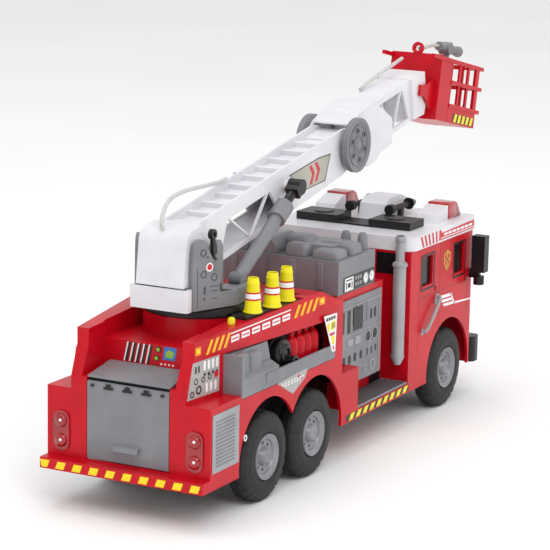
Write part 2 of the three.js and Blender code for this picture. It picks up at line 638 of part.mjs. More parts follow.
function turntableBase() {
  const floor = raised(outline([[-54, -26], [-11, -42.5], [20, -40], [20, 40], [-11, 42.5], [-54, 26]]), BASE_Z,
    BASE_Z + 1.6);
  const frontBlock = cut(block(-14, 20, -40, 40, BASE_Z, 168), block(-16, 22, -21.5, 21.5, BASE_Z + 1.6, 170),
    block(4, 30, -RAM_FOOT[1] - 6.2, -RAM_FOOT[1] + 6.2, 160, 170),
    block(4, 30, RAM_FOOT[1] - 6.2, RAM_FOOT[1] + 6.2, 160, 170));
  const inner = spread(outline([[-30, BASE_Z], [-6, BASE_Z], [-6, 200], [-10, 206], [-20, 208], [-30, 196]]),
    -25.4, -22.6);
  const leverPin = bar('y', 2, -30, -25, -24, 196, 12);
  const half = join(cheek(), inner, leverPin);
  const innerLeft = mirrored(join(cheek(), inner));
  const boomHole = bar('y', 3.6, -60, 60, PIVOT_X, PIVOT_Z, 20);
  return cut(join(floor, frontBlock, half, innerLeft), boomHole);
}

// White rear cover under the boom's tail.
function turntableCover() {
  const outer = raised(roundedRect(-64, -54.6, -26.4, 26.4, 3), BASE_Z, 174);
  return cut(outer, block(-61.8, -50, -23.2, 23.2, BASE_Z + 2, 180));
}

place(turntable, 'turntable_ring', turntableRing(), BLACK, 0.5);
place(turntable, 'turntable_base', turntableBase(), GREY, 0.5);
place(turntable, 'turntable_cover', turntableCover(), WHITE, 0.35);

const lever = new THREE.Group();
lever.position.set(-24, 0, 196);
turntable.add(lever);

function leverArm() {
  const arm = spread(outline([[-3.4, -3.4], [3.4, -3.4], [2, 8], [-1.5, 14], [-4.5, 14]]), -28.8, -26);
  const knob = bar('y', 4.2, -29.6, -25.6, -3.5, 17.5, 16);
  const eye = bar('y', 1.9, -31, -24, -3.5, 17.5, 10);
  return cut(join(arm, knob), eye, bar('y', 2.3, -31, -24, 0, 0, 12));
}

place(lever, 'release_lever', leverArm(), BLACK, 0.4);

// ---------------------------------------------------------------- boom

// Boom frame: x runs along the boom from its pivot, z is square to it.
const boom = new THREE.Group();
boom.position.set(PIVOT_X, 0, PIVOT_Z);
boom.rotation.y = -BOOM_RISE;
turntable.add(boom);

const BOOM_TOP = 28.5;
const BOOM_BOTTOM = -12.5;

// A row of triangular openings that point up and down in turn, with thin struts between them.
function latticeHoles(from, to, low, high, bays, web) {
  const pitch = (to - from) / bays;
  const holes = [];
  for (let i = 0; i < bays; i += 1) {
    const middle = from + (i + 0.5) * pitch;
    const x0 = Math.max(from, middle - pitch + web);
    const x1 = Math.min(to, middle + pitch - web);
    const [base, tip] = i % 2 === 0 ? [low, high] : [high, low];
    holes.push(spread(outline([[x0, base], [x1, base], [middle + 1, tip], [middle - 1, tip]]), -40, 40));
  }
  return join(...holes);
}

function boomBody() {
  const tail = new THREE.Shape();
  tail.moveTo(-30, -9.7);
  tail.lineTo(-10, -13.3);
  tail.lineTo(6, -13.3);
  tail.lineTo(6, 31);
  tail.lineTo(-6, 31);
  tail.absarc(-9, 19.5, 11.5, Math.PI / 2, Math.PI * 0.93, false);
  tail.closePath();
  const tailHollow = outline([[-28.4, -15], [3, -15], [3, 28.4], [-9, 28.4], [-15.4, 25.8], [-18.2, 21.4]]);
  const cap = cut(spread(tail, -21.5, 21.5), spread(tailHollow, -19.5, 19.5));
  const sideShape = outline([[0, BOOM_BOTTOM + 3], [40, BOOM_BOTTOM], [256, BOOM_BOTTOM + 2], [292, -4], [292, 24],
    [262, BOOM_TOP + 1], [0, BOOM_TOP + 2]]);
  const wall = cut(spread(sideShape, -BOOM_HALF, -BOOM_HALF + 2.4), latticeHoles(38, 142, -8, 17.6, 3, 3.6));
  const trough = block(0, 250, -BOOM_HALF + 1, BOOM_HALF - 1, 20, 22);
  const floor = block(36, 246, -BOOM_HALF + 1, BOOM_HALF - 1, BOOM_BOTTOM + 1.6, BOOM_BOTTOM + 3.6);
  const kneeLid = block(248, 278, -BOOM_HALF + 1, BOOM_HALF - 1, 21, 23.6);
  const tailTies = [block(2, 6, -21.5, 21.5, -9.5, 28), block(0, 8, -18, 18, 20, 31)];
  const rungs = [];
  for (let x = 20; x < 250; x += 23) {
    rungs.push(block(x, x + 4, -BOOM_HALF + 1, BOOM_HALF - 1, 21, 26));
  }
  const pin = bar('y', 3, -30, 30, 0, 0, 16);
  const ramPin = bar('y', 5, -20.2, 20.2, RAM_EYE[0], RAM_EYE[1], 16);
  const body = join(cap, wall, mirrored(wall), trough, floor, kneeLid, ...tailTies, ...rungs, pin, ramPin);
  return cut(body, bar('y', 4.4, -40, 40, KNEE_S, KNEE_N, 20));
}

place(boom, 'lower_boom', boomBody(), WHITE, 0.35);

const HOSE_DIAMETER = 3.4;
const BOOM_HOSE = [[-13, 3, 31.8], [-13.4, 3.2, 35], [-10.4, 4.1, 40], [-5, 5, 44.2], [1, 6, 46.9], [9, 7.2, 48.1],
  [20, 8.6, 47.7], [36, 9.8, 45.6], [54, 10.8, 42], [74, 11.6, 37.6], [94, 12.4, 33.6], [106, 12.8, 32.6]];

place(boom, 'boom_hose', tube(BOOM_HOSE, HOSE_DIAMETER), WHITE, 0.3);

// ---------------------------------------------------------------- rams

const riseCos = Math.cos(BOOM_RISE);
const riseSin = Math.sin(BOOM_RISE);
const eyeX = PIVOT_X + RAM_EYE[0] * riseCos - RAM_EYE[1] * riseSin;
const eyeZ = PIVOT_Z + RAM_EYE[0] * riseSin + RAM_EYE[1] * riseCos;
const ramRise = Math.atan2(eyeZ - RAM_FOOT[2], eyeX - RAM_FOOT[0]);
const ramLength = Math.hypot(eyeZ - RAM_FOOT[2], eyeX - RAM_FOOT[0]);
const RAM_BARREL = 5.6;
const RAM_BORE = 4.3;
const ROD_RADIUS = 4;

function ramBarrel() {
  const shell = cut(bar('x', RAM_BARREL, 2, 78, 0, 0, 18), bar('x', RAM_BORE, 16, 90, 0, 0, 18));
  const collar = cut(bar('x', 8, 74, 92, 0, 0, 20), bar('x', RAM_BORE, 70, 95, 0, 0, 18));
  const knuckle = bar('y', 5.6, -5.6, 5.6, 0, 0, 18);
  return join(shell, collar, knuckle);
}

function ramRod() {
  const rod = bar('x', ROD_RADIUS, 22, ramLength - 6, 0, 0, 16);
  const fork = block(ramLength - 9, ramLength, -6, 6, -5, 5);
  return join(rod, fork, bar('y', 6.5, -6, 6, ramLength + 0.5, 0, 20));
}

for (const [name, sign] of sides) {
  const ram = new THREE.Group();
  ram.position.set(RAM_FOOT[0], sign * RAM_FOOT[1], RAM_FOOT[2]);
  ram.rotation.y = -ramRise;
  turntable.add(ram);
  place(ram, `ram_barrel_${name}`, ramBarrel(), GREY, 0.4);
  place(ram, `ram_rod_${name}`, ramRod(), BLACK, 0.4);
}

// ---------------------------------------------------------------- upper arm, telescopic ladder

const SLEEVE_HALF = 19;
const LADDER_HALF = 14.6;

function upperSleeve() {
  const side = outline([[258, 4], [258, 22], [272, 31], [300, 37], [322, 37.5], [354, 12.6], [352, -11], [324, -12.5],
    [318, -16.5], [300, -16.5], [292, -12], [268, -4]]);
  const wall = spread(side, -SLEEVE_HALF, -SLEEVE_HALF + 2);
  const roof = block(300, 323, -SLEEVE_HALF + 0.5, SLEEVE_HALF - 0.5, 35, 37);
  const ramp = spread(outline([[272, 29.6], [301, 35], [301, 37], [272, 31]]), -SLEEVE_HALF + 0.5, SLEEVE_HALF - 0.5);
  const floor = block(300, 350, -SLEEVE_HALF + 0.5, SLEEVE_HALF - 0.5, -11.2, -8.8);
  return cut(join(wall, mirrored(wall), roof, ramp, floor), bar('y', 4.4, -40, 40, KNEE_S, KNEE_N, 20));
}

// Two grey hand wheels on the knee pin.
function kneeWheels() {
  const wheel = turned([[0, -26], [4, -26], [5, -24.6], [19, -24.6], [21, -26], [24, -25.4], [24, -20], [21, -19.4],
    [0, -19.4]], KNEE_S, KNEE_N, 28);
  return join(wheel, mirrored(wheel), bar('y', 4, -22, 22, KNEE_S, KNEE_N, 16));
}

function innerLadder() {
  const side = outline([[304, -6], [398, -6], [404, -5.5], [404, 33.4], [304, 33.4]]);
  const wall = cut(spread(side, -LADDER_HALF, -LADDER_HALF + 2.2), latticeHoles(330, 398, -2, 28, 3, 3));
  const top = block(304, 404, -LADDER_HALF + 1, LADDER_HALF - 1, 31.4, 33.4);
  const ties = [304, 360, 396].map((x) => block(x, x + 4, -LADDER_HALF + 1, LADDER_HALF - 1, -6, -3.5));
  const head = cut(spread(outline([[402, -4], [402, 34], [430, 34], [430, 6], [424, -5.5]]), -18, 18),
    block(406, 440, -15.6, 15.6, -10, 31));
  return join(wall, mirrored(wall), top, ...ties, cut(head, bar('y', 3.4, -30, 30, BASKET_S, BASKET_N, 16)));
}

place(boom, 'upper_sleeve', upperSleeve(), WHITE, 0.35);
place(boom, 'knee_wheels', kneeWheels(), GREY, 0.4);
place(boom, 'inner_ladder', innerLadder(), WHITE, 0.35);

const LADDER_HOSE = [[356, 12.4, 35.6], [362, 12.4, 36.6], [372, 11.6, 38.2], [384, 10, 40], [398, 7.6, 42.2],
  [412, 5, 44.4], [426, 2.6, 46.4]];

place(boom, 'ladder_hose', tube(LADDER_HOSE, HOSE_DIAMETER), WHITE, 0.3);

// ---------------------------------------------------------------- basket and water cannon

// Basket frame: x points to its front, z square to its floor.
const basket = new THREE.Group();
basket.position.set(BASKET_S, 0, BASKET_N);
basket.rotation.y = BASKET_TILT;
boom.add(basket);

const BASKET_BACK = 23.6;
const BASKET_FRONT = 117;
const BASKET_FLOOR = -24;
const RAIL_TOP = 35.5;
const RAIL_OVERHANG = 5.94;      // rails stand past the front panel

function basketSide() {
  const openings = [];
  for (const [low, high] of [[-6, 12], [16, 31.5]]) {
    for (const [x0, x1] of [[52, 68], [72, 88], [92, 108]]) {
      openings.push(block(x0, x1, -40, 0, low, high));
    }
  }
  const wall = cut(block(BASKET_BACK, BASKET_FRONT - 4, -BASKET_HALF, -BASKET_HALF + 2, BASKET_FLOOR, RAIL_TOP),
    ...openings);
  const rail = (z, from) => block(from, BASKET_FRONT + RAIL_OVERHANG, -BASKET_HALF - 0.8, -BASKET_HALF + 2.4, z, z + 3.6);
  const ear = spread(outline([[-5, -5], [5, -5], [BASKET_BACK + 2, -18], [BASKET_BACK + 2, 14], [5, 6], [-5, 5]]), -21, -18.4);
  return join(wall, rail(31.9, 3.7), rail(12.2, 50), rail(-9.8, 50), ear);
}

function basketBody() {
  const back = block(BASKET_BACK, BASKET_BACK + 2.4, -BASKET_HALF, BASKET_HALF, BASKET_FLOOR, 37);
  const floor = block(BASKET_BACK, BASKET_FRONT - 4, -BASKET_HALF, BASKET_HALF, BASKET_FLOOR, BASKET_FLOOR + 2.4);
  const frontOpenings = [];
  for (const [low, high] of [[-6, 12], [16, 31.5]]) {
    for (const y0 of [-21, -5.5, 10]) {
      frontOpenings.push(block(BASKET_FRONT - 5, BASKET_FRONT, y0, y0 + 11, low, high));
    }
  }
  const front = cut(block(BASKET_FRONT - 4, BASKET_FRONT - 1.6, -BASKET_HALF, BASKET_HALF, BASKET_FLOOR, RAIL_TOP),
    ...frontOpenings);
  const column = block(84, 96, -5, 5, BASKET_FLOOR, RAIL_TOP + 1);
  const ring = cut(bar('x', 5.6, 22.4, 26, 0, 41.4, 20), bar('x', 2.8, 20, 30, 0, 41.4, 16));
  const side = basketSide();
  const pin = bar('y', 2.8, -20, 20, 0, 0, 14);
  return join(back, floor, front, column, ring, side, mirrored(side), pin);
}

place(basket, 'rescue_basket', basketBody(), RED, 0.35);

const cannon = new THREE.Group();
cannon.position.set(90, 0, RAIL_TOP + 1 + GAP);
basket.add(cannon);

function waterCannon() {
  const foot = upright([[0, 0], [5, 0], [5, 1.6], [3, 2.4], [3, 8], [0, 8]], 0, 0, 18);
  const barrel = bar('x', 4.4, -20, 14, 0, 12, 18);
  const muzzle = bar('x', 4, 13, 27, 0, 12, 18, 5.4);
  const lump = bar('y', 6, -5.5, 5.5, -3, 12, 18);
  return join(foot, barrel, muzzle, lump);
}

place(cannon, 'water_cannon', waterCannon(), GREY, 0.4);

const BASKET_HOSE = [[27.2, 0, 41.4], [34, 0.2, 42.6], [44, 0.4, 45], [54, 0.3, 47.4], [62, 0.1, 48.6], [68.6, 0, 48.8]];

place(basket, 'basket_hose', tube(BASKET_HOSE, HOSE_DIAMETER), WHITE, 0.3);

export default fireEngine;
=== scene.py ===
import json
import math

import bmesh
import bpy
from mathutils import Matrix, Vector


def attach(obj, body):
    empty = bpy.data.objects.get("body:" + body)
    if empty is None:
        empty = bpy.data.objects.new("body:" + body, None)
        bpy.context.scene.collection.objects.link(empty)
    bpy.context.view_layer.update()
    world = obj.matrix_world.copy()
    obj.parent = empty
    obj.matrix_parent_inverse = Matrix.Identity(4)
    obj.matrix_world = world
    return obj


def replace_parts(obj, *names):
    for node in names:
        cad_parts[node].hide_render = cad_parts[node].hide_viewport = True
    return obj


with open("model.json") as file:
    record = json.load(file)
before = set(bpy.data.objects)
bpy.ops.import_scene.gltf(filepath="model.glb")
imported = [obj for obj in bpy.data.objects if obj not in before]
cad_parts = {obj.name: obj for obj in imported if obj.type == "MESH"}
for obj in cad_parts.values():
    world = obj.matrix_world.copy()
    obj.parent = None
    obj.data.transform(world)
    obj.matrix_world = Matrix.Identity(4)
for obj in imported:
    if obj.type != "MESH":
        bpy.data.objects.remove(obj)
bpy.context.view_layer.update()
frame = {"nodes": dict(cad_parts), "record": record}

MM = 0.001
SIDES = (("right", -1), ("left", 1))

# ---------------------------------------------------------------- camera

CAMERA_AT = (-1.7913, -0.9208, 0.5597)
CAMERA_AZIMUTH = math.radians(-61.961)
CAMERA_ELEVATION = math.radians(11.806)
CAMERA_ROLL = math.radians(1.046)
CAMERA_LENS = 154.3


def camera():
    """Looks at the truck from its right rear quarter, a little from above."""
    flat = math.cos(CAMERA_ELEVATION)
    back = Vector((math.sin(CAMERA_AZIMUTH) * flat, -math.cos(CAMERA_AZIMUTH) * flat,
                   math.sin(CAMERA_ELEVATION)))
    right = (-back).cross(Vector((0, 0, 1))).normalized()
    up = right.cross(-back)
    turn_c, turn_s = math.cos(CAMERA_ROLL), math.sin(CAMERA_ROLL)
    across = right * turn_c + up * turn_s
    upright = up * turn_c - right * turn_s
    data = bpy.data.cameras.new("camera")
    data.lens = CAMERA_LENS
    data.sensor_width = 36
    data.clip_end = 20
    seen = bpy.data.objects.new("camera", data)
    turn = Matrix((across, upright, back)).transposed().to_4x4()
    seen.matrix_world = Matrix.Translation(Vector(CAMERA_AT)) @ turn
    bpy.context.scene.collection.objects.link(seen)
    bpy.context.scene.camera = seen


camera()

# ---------------------------------------------------------------- colour and node helpers


def linear(hex_colour):
    """An sRGB hex colour such as "c1121f" as a linear RGBA tuple."""
    parts = [int(hex_colour[i:i + 2], 16) / 255 for i in (0, 2, 4)]
    return tuple(c / 12.92 if c <= 0.04045 else ((c + 0.055) / 1.055) ** 2.4 for c in parts) + (1.0,)


def add(tree, kind, settings=None, links=None):
    """Adds one shader node, sets its properties and sockets, and links what feeds it."""
    node = tree.nodes.new("ShaderNode" + kind)
    for key, value in (settings or {}).items():
        if isinstance(key, str) and hasattr(node, key):
            setattr(node, key, value)
        else:
            node.inputs[key].default_value = value
    for key, source in (links or {}).items():
        tree.links.new(source, node.inputs[key])
    return node


def new_material(name):
    """An empty node material and its object coordinates in millimetres."""
    material = bpy.data.materials.new(name)
    material.use_nodes = True
    tree = material.node_tree
    tree.nodes.clear()
    place = add(tree, "TexCoord")
    mm = add(tree, "VectorMath", {"operation": "SCALE", "Scale": 1 / MM}, {0: place.outputs["Object"]})
    return material, tree, mm.outputs["Vector"]


def noise(tree, mm, size, detail, settings=None):
    """A noise whose cells are about size mm across, from 0 to 1."""
    made = add(tree, "TexNoise", {"Scale": 1 / size, "Detail": detail, **(settings or {})}, {"Vector": mm})
    return made.outputs["Fac"]


def blend(tree, source, low, high, start=0.0, end=1.0):
    """Goes from the hex colour low, where source is at start, to high, where it is at end."""
    made = add(tree, "ValToRGB", None, {"Fac": source})
    for stop, position, colour in zip(made.color_ramp.elements, (start, end), (low, high)):
        stop.position = position
        stop.color = linear(colour)
    return made.outputs["Color"]


def surface(material, tree, settings, links):
    """Ends a material with its principled surface."""
    skin = add(tree, "BsdfPrincipled", settings, links)
    out = add(tree, "OutputMaterial")
    tree.links.new(skin.outputs["BSDF"], out.inputs["Surface"])
    return material


# ---------------------------------------------------------------- finishes


def moulded_plastic(name, colour, shade, roughness, metallic=0.0, coat=0.0, spread=0.05, shine=0.4):
    """Injection-moulded plastic: an even colour with faint flow marks, a fine mould grain and soft gloss.

    colour and shade are the two ends of the flow marks, about 30 mm long."""
    material, tree, mm = new_material(name)
    flow = noise(tree, mm, 30, 3.0, {"Roughness": 0.55})
    tint = blend(tree, flow, shade, colour, 0.35, 0.65)
    grain = noise(tree, mm, 0.9, 4.0, {"Roughness": 0.6})
    rub = noise(tree, mm, 9, 5.0, {"Roughness": 0.7})
    gloss = add(tree, "MapRange", {"From Min": 0.3, "From Max": 0.75, "To Min": roughness - spread / 2,
                                   "To Max": roughness + spread}, {"Value": rub})
    sink = add(tree, "Bump", {"Strength": 0.15, "Distance": 0.08 * MM}, {"Height": flow})
    relief = add(tree, "Bump", {"Strength": 0.5, "Distance": 0.006 * MM},
                 {"Height": grain, "Normal": sink.outputs["Normal"]})
    return surface(material, tree, {"IOR": 1.5, "Metallic": metallic, "Coat Weight": coat,
                                    "Coat Roughness": 0.12, "Specular IOR Level": shine},
                   {"Base Color": tint, "Roughness": gloss.outputs["Result"], "Normal": relief.outputs["Normal"]})


def tyre_rubber():
    """Black moulded PVC tyre: dull, with dust in its grain."""
    material, tree, mm = new_material("tyre_pvc")
    tint = blend(tree, noise(tree, mm, 6, 6.0, {"Roughness": 0.7}), "121213", "232324", 0.35, 0.75)
    relief = add(tree, "Bump", {"Strength": 0.6, "Distance": 0.06 * MM}, {"Height": noise(tree, mm, 0.8, 4.0)})
    return surface(material, tree, {"IOR": 1.5, "Roughness": 0.62},
                   {"Base Color": tint, "Normal": relief.outputs["Normal"]})


def clear_vinyl():
    """Soft cloudy PVC tube that lets some light through."""
    material, tree, mm = new_material("clear_vinyl_tube")
    tint = blend(tree, noise(tree, mm, 5, 3.0), "c9c9c6", "f1f1ee")
    return surface(material, tree, {"IOR": 1.5, "Roughness": 0.28, "Transmission Weight": 0.35,
                                    "Subsurface Weight": 0.2, "Subsurface Scale": 2 * MM}, {"Base Color": tint})


def printed_film(name, colour, shade):
    """Printed vinyl sticker: flat ink with a fine printing grain, drawn at 0.8 mm so that it shows."""
    material, tree, mm = new_material(name)
    tint = blend(tree, noise(tree, mm, 0.8, 2.0), shade, colour, 0.3, 0.6)
    relief = add(tree, "Bump", {"Strength": 0.2, "Distance": 0.2 * MM}, {"Height": noise(tree, mm, 14, 2.0)})
    return surface(material, tree, {"IOR": 1.46, "Roughness": 0.35},
                   {"Base Color": tint, "Normal": relief.outputs["Normal"]})


FINISH = {
    # the red of fire engines, glossy, with broad soft highlights
    "red_abs": moulded_plastic("red_gloss_abs", "cb0a1f", "bd081b", 0.3, shine=0.25),
    # deep wine-red lens under a clear gloss, with sharp highlights
    "red_lens": moulded_plastic("red_styrene_lens", "b80d1a", "8f0813", 0.12, coat=0.8),
    # painted shade: body red as it looks in shade, so that seams and handles read as gaps
    "painted_shade_red": moulded_plastic("painted_shade_red_abs", "8a0a14", "720710", 0.4),
    # even mid grey with a faint sheen
    "grey_abs": moulded_plastic("grey_satin_abs", "85868a", "797a7f", 0.42),
    # a step paler than the panels, so that trims stand out from them
    "light_grey": moulded_plastic("light_grey_abs", "a3a4a7", "96979a", 0.42),
    # dull charcoal, for marks that read as shadow on grey
    "dark_grey": moulded_plastic("dark_grey_abs", "4a4a4d", "3c3c3f", 0.5),
    # cool white, glossy enough to show its edges
    "white_abs": moulded_plastic("white_gloss_abs", "e6e5e9", "dddce1", 0.34),
    # satin black whose highlights still show its shape; it also fills the hatch gap, the stack mouths and the wheel
    # and knee holes as painted shade
    "black_abs": moulded_plastic("black_satin_abs", "161618", "101012", 0.36),
    # lemon yellow, bright and slightly dull
    "yellow_pp": moulded_plastic("yellow_polypropylene", "f2e70a", "e6d806", 0.4),
    # flat near-black with grey dust
    "tyre": tyre_rubber(),
    # silver-grey paint with a soft metallic sheen
    "silver_lacquer": moulded_plastic("silver_lacquered_abs", "97989c", "88898e", 0.36, metallic=0.35),
    # the same paint, paler and less metallic
    "stack_silver": moulded_plastic("silver_stack_abs", "acadb1", "9fa0a4", 0.36, metallic=0.25),
    # near-black glazing with a clean reflection
    "tinted": moulded_plastic("tinted_styrene", "1a1c1f", "111315", 0.2, coat=0.15, spread=0.04, shine=0.2),
    # milky and slightly see-through
    "hose": clear_vinyl(),
    # warm grey, duller than the white round it: painted shade in the boom's recessed side panel
    "recess_shade_grey": moulded_plastic("recess_shade_grey_abs", "b9b6aa", "a9a698", 0.3),
    # printed stickers: flat ink, a little glossier than the plastic under it
    # the white film also makes the painted highlights on the tail lamp lenses
    "film_white": printed_film("white_vinyl_film", "f6f5f4", "ebeaea"),
    "film_orange": printed_film("orange_vinyl_film", "f7941d", "ef8512"),
    "film_yellow": printed_film("yellow_vinyl_film", "fbe116", "f2d208"),
    "film_black": printed_film("black_vinyl_film", "1d1b1b", "131212"),
    "film_red": printed_film("red_vinyl_film", "d3152a", "c00f22"),
    # speckled foil grey
    "film_silver": printed_film("silver_vinyl_film", "b9b8b6", "8d8c8a"),
    "film_blue": printed_film("blue_vinyl_film", "3f7fc4", "2f67ae"),
    "film_green": printed_film("green_vinyl_film", "9cc23c", "7fae33"),
    # dull old gold
    "film_gold": printed_film("gold_vinyl_film", "cfa23a", "a87f22"),
}

SLOT_FINISH = {
    "red_body": "red_abs", "red_cab": "red_abs", "red_basket": "red_abs", "red_lens": "red_lens",
    "grey_plastic": "grey_abs", "grey_turntable": "grey_abs", "white_boom": "white_abs",
    "white_roof": "white_abs", "black_plastic": "black_abs", "black_kit": "black_abs",
    "yellow_plastic": "yellow_pp", "tyre_rubber": "tyre", "rim_silver": "silver_lacquer",
    "stack_silver": "stack_silver", "window_tint": "tinted", "hose_clear": "hose",
}

# ---------------------------------------------------------------- CAD pieces: finish and rounded edges

EDGE_ROUND = 0.55 * MM
FINE_ROUND = 0.3 * MM
# thin bars, on which a rounded edge would fold over itself
SHARP_NODES = ("rescue_basket", "inner_ladder")
# small or thin pieces, which take a smaller rounding
FINE_NODES = ("release_lever", "water_cannon", "sound_button", "pump_panel_right",
              "pump_panel_left", "step_plate_right", "step_plate_left", "rear_shelf", "cone_tray")


def dress_node(node, slot_name):
    """Gives a CAD piece its finish, and the small edge rounding that a mould leaves."""
    node.data.materials.clear()
    node.data.materials.append(FINISH[SLOT_FINISH[slot_name]])
    # the normals that came with the mesh would hide the rounding
    if "custom_normal" in node.data.attributes:
        node.data.attributes.remove(node.data.attributes["custom_normal"])
    for face in node.data.polygons:
        face.use_smooth = node.name not in SHARP_NODES
    weld = node.modifiers.new("weld", "WELD")
    weld.merge_threshold = 0.01 * MM
    if node.name in SHARP_NODES:
        return
    edge = node.modifiers.new("edge", "BEVEL")
    edge.width = FINE_ROUND if node.name in FINE_NODES else EDGE_ROUND
    edge.segments = 2
    edge.limit_method = "ANGLE"
    edge.angle_limit = math.radians(38)
    edge.harden_normals = True
    edge.use_clamp_overlap = True


for part in frame["record"]["subparts"]:
    dress_node(frame["nodes"][part["node"]], part["material_slot"])

# ---------------------------------------------------------------- places on the truck, in mm

# the side walls, as distances from the middle
FLANK_HALF = 73.5
BROW_HALF = 74.7
PANEL_HALF = 60.4
STRIP_HALF = 58.5
BOOM_SIDE = 16.5
KNEE_SIDE = 24.6
BASKET_SIDE = 26.0

# the rear body's flared wall: its rear end, and how much it widens along the truck
FLARE_X = -299
FLARE_HALF = 51.5
FLARE_RATE = 22 / 204.5

# walls that face the rear or the front, by their distance along the truck
BUMPER_X = -310
LAMP_X = -301.0
HATCH_X = -300
# the plane of the painted shadow behind the gap over the hatch
HATCH_GAP_SHADOW_X = -294.5
WALL_X = -264
CAB_REAR_X = 53.3
CAB_FRONT_X = 194.5

# level faces, by their height
STEP_TOP = 42.0
SHOULDER_Z = 96.4

# the turntable's cheeks: rear edge of the inner face, wall, and how far they open towards the front
TURN_X = -191.6
CHEEK_BACK = 54
CHEEK_HALF = 22.5
CHEEK_WALL = 4
CHEEK_FLARE = math.atan2(18.6, 46)

# the boom and the basket: where each turns, and its slope at rest
BOOM_AT = (-225.5, 189.8)
BOOM_RISE = math.radians(10.3)
KNEE_ALONG = (274, 12)
BASKET_AT = (182.37, 283.23)
BASKET_DROP = math.radians(-12)


def on_side(sign, half):
    """A plane that faces sideways: along the truck, and up."""
    return lambda a, b, h=0.0: Vector((a, sign * (half + h), b)) * MM


def on_flare(sign):
    """The rear body's wall that widens towards the front."""
    return lambda a, b, h=0.0: Vector((a, sign * (FLARE_HALF + (a - FLARE_X) * FLARE_RATE + h), b)) * MM


def on_rear(x):
    """A plane that faces the rear: across the truck, and up."""
    return lambda a, b, h=0.0: Vector((x - h, a, b)) * MM


def on_front(a, b, h=0.0):
    """The front wall of the cab: across, and up."""
    return Vector((CAB_FRONT_X + h, a, b)) * MM


def on_top(z):
    """A level plane: along the truck, and across."""
    return lambda a, b, h=0.0: Vector((a, b, z + h)) * MM


def tilted(at, rise, sign, half):
    """A side plane on an arm that rises by an angle: along the arm, and square to it."""
    c, s = math.cos(rise), math.sin(rise)
    return lambda a, b, h=0.0: Vector((at[0] + a * c - b * s, sign * (half + h), at[1] + a * s + b * c)) * MM


def on_cheek(sign):
    """The outer face of a turntable cheek: along it from its rear edge, and up."""
    c, s = math.cos(CHEEK_FLARE), math.sin(CHEEK_FLARE)
    return lambda a, b, h=0.0: Vector((TURN_X - CHEEK_BACK + a * c - (CHEEK_WALL + h) * s,
                                       sign * (CHEEK_HALF + a * s + (CHEEK_WALL + h) * c), b)) * MM


# ---------------------------------------------------------------- mesh helpers


# how far stickers float off the wall under them, so that the two never flicker
STICKER_LIFT = 0.03


def around(count, start=0.0):
    """Cosine and sine of even steps round a circle."""
    angles = [2 * math.pi * (i + start) / count for i in range(count)]
    return [(math.cos(angle), math.sin(angle)) for angle in angles]


def bridge(work, one, two):
    """Faces between two closed loops of vertices; a loop of one vertex makes a fan."""
    count = max(len(one), len(two))
    for i in range(count):
        j = (i + 1) % count
        if len(one) == 1:
            work.faces.new((one[0], two[i], two[j]))
        elif len(two) == 1:
            work.faces.new((one[i], one[j], two[0]))
        else:
            work.faces.new((one[i], one[j], two[j], two[i]))


def piece(name, work, body, finish, edge=0.0, smooth_angle=40):
    """Makes a bmesh into a piece of the model that rides on a body."""
    bmesh.ops.remove_doubles(work, verts=work.verts, dist=1e-7)
    bmesh.ops.recalc_face_normals(work, faces=work.faces)
    data = bpy.data.meshes.new(name)
    work.to_mesh(data)
    work.free()
    made = bpy.data.objects.new(name, data)
    bpy.context.scene.collection.objects.link(made)
    data.materials.append(FINISH[finish])
    for face in data.polygons:
        face.use_smooth = True
    if edge:
        soft = made.modifiers.new("edge", "BEVEL")
        soft.width = edge * MM
        soft.segments = 2
        soft.limit_method = "ANGLE"
        soft.angle_limit = math.radians(smooth_angle)
        soft.harden_normals = True
    else:
        data.set_sharp_from_angle(angle=math.radians(smooth_angle))
    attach(made, body)
    return made


def plates(name, body, finish, place, shapes, depth=0.25, lift=STICKER_LIFT, edge=0.0):
    """Thin flat pieces with the given outlines, on a plane given by place."""
    work = bmesh.new()
    for shape in shapes:
        low = [work.verts.new(place(a, b, lift)) for a, b in shape]
        high = [work.verts.new(place(a, b, lift + depth)) for a, b in shape]
        work.faces.new(low)
        work.faces.new(high)
        bridge(work, low, high)
    return piece(name, work, body, finish, edge)


def rect(a0, a1, b0, b1, lean=0.0):
    """An upright rectangle; its top edge leans over by lean."""
    return [(a0, b0), (a1, b0), (a1 + lean, b1), (a0 + lean, b1)]


def oval(a, b, ra, rb, count=20):
    """An ellipse's outline."""
    return [(a + ra * c, b + rb * s) for c, s in around(count)]


def circles_round(a, b, reach, radius, number, count, start=0.0):
    """Outlines of small circles, evenly spaced round a centre."""
    return [oval(a + reach * c, b + reach * s, radius, radius, count) for c, s in around(number, start)]


def pill(a0, a1, b0, b1):
    """An upright slot with round ends."""
    r = (a1 - a0) / 2
    mid = (a0 + a1) / 2
    arc = around(12)[:7]
    return [(mid + r * c, b1 - r + r * s) for c, s in arc] + [(mid - r * c, b0 + r - r * s) for c, s in arc]


def rings(name, body, finish, place, spots, depth=0.3):
    """Flat rings: spots are (a, b, outer radius, inner radius)."""
    work = bmesh.new()
    for a, b, r_out, r_in in spots:
        loops = [[work.verts.new(place(a + radius * c, b + radius * s, h)) for c, s in around(28)]
                 for radius, h in ((r_in, STICKER_LIFT), (r_out, STICKER_LIFT),
                                   (r_out, STICKER_LIFT + depth), (r_in, STICKER_LIFT + depth))]
        for one, two in zip(loops, loops[1:] + loops[:1]):
            bridge(work, one, two)
    return piece(name, work, body, finish)


def turned(name, body, finish, profile, place, count):
    """A lathe piece in count facets: profile holds (radius, height), and a radius of 0 closes it to a point."""
    work = bmesh.new()
    loops = [[work.verts.new(place(radius * c, radius * s, height)) for c, s in around(count)] if radius
             else [work.verts.new(place(0, 0, height))] for radius, height in profile]
    for one, two in zip(loops, loops[1:]):
        bridge(work, one, two)
    return piece(name, work, body, finish)


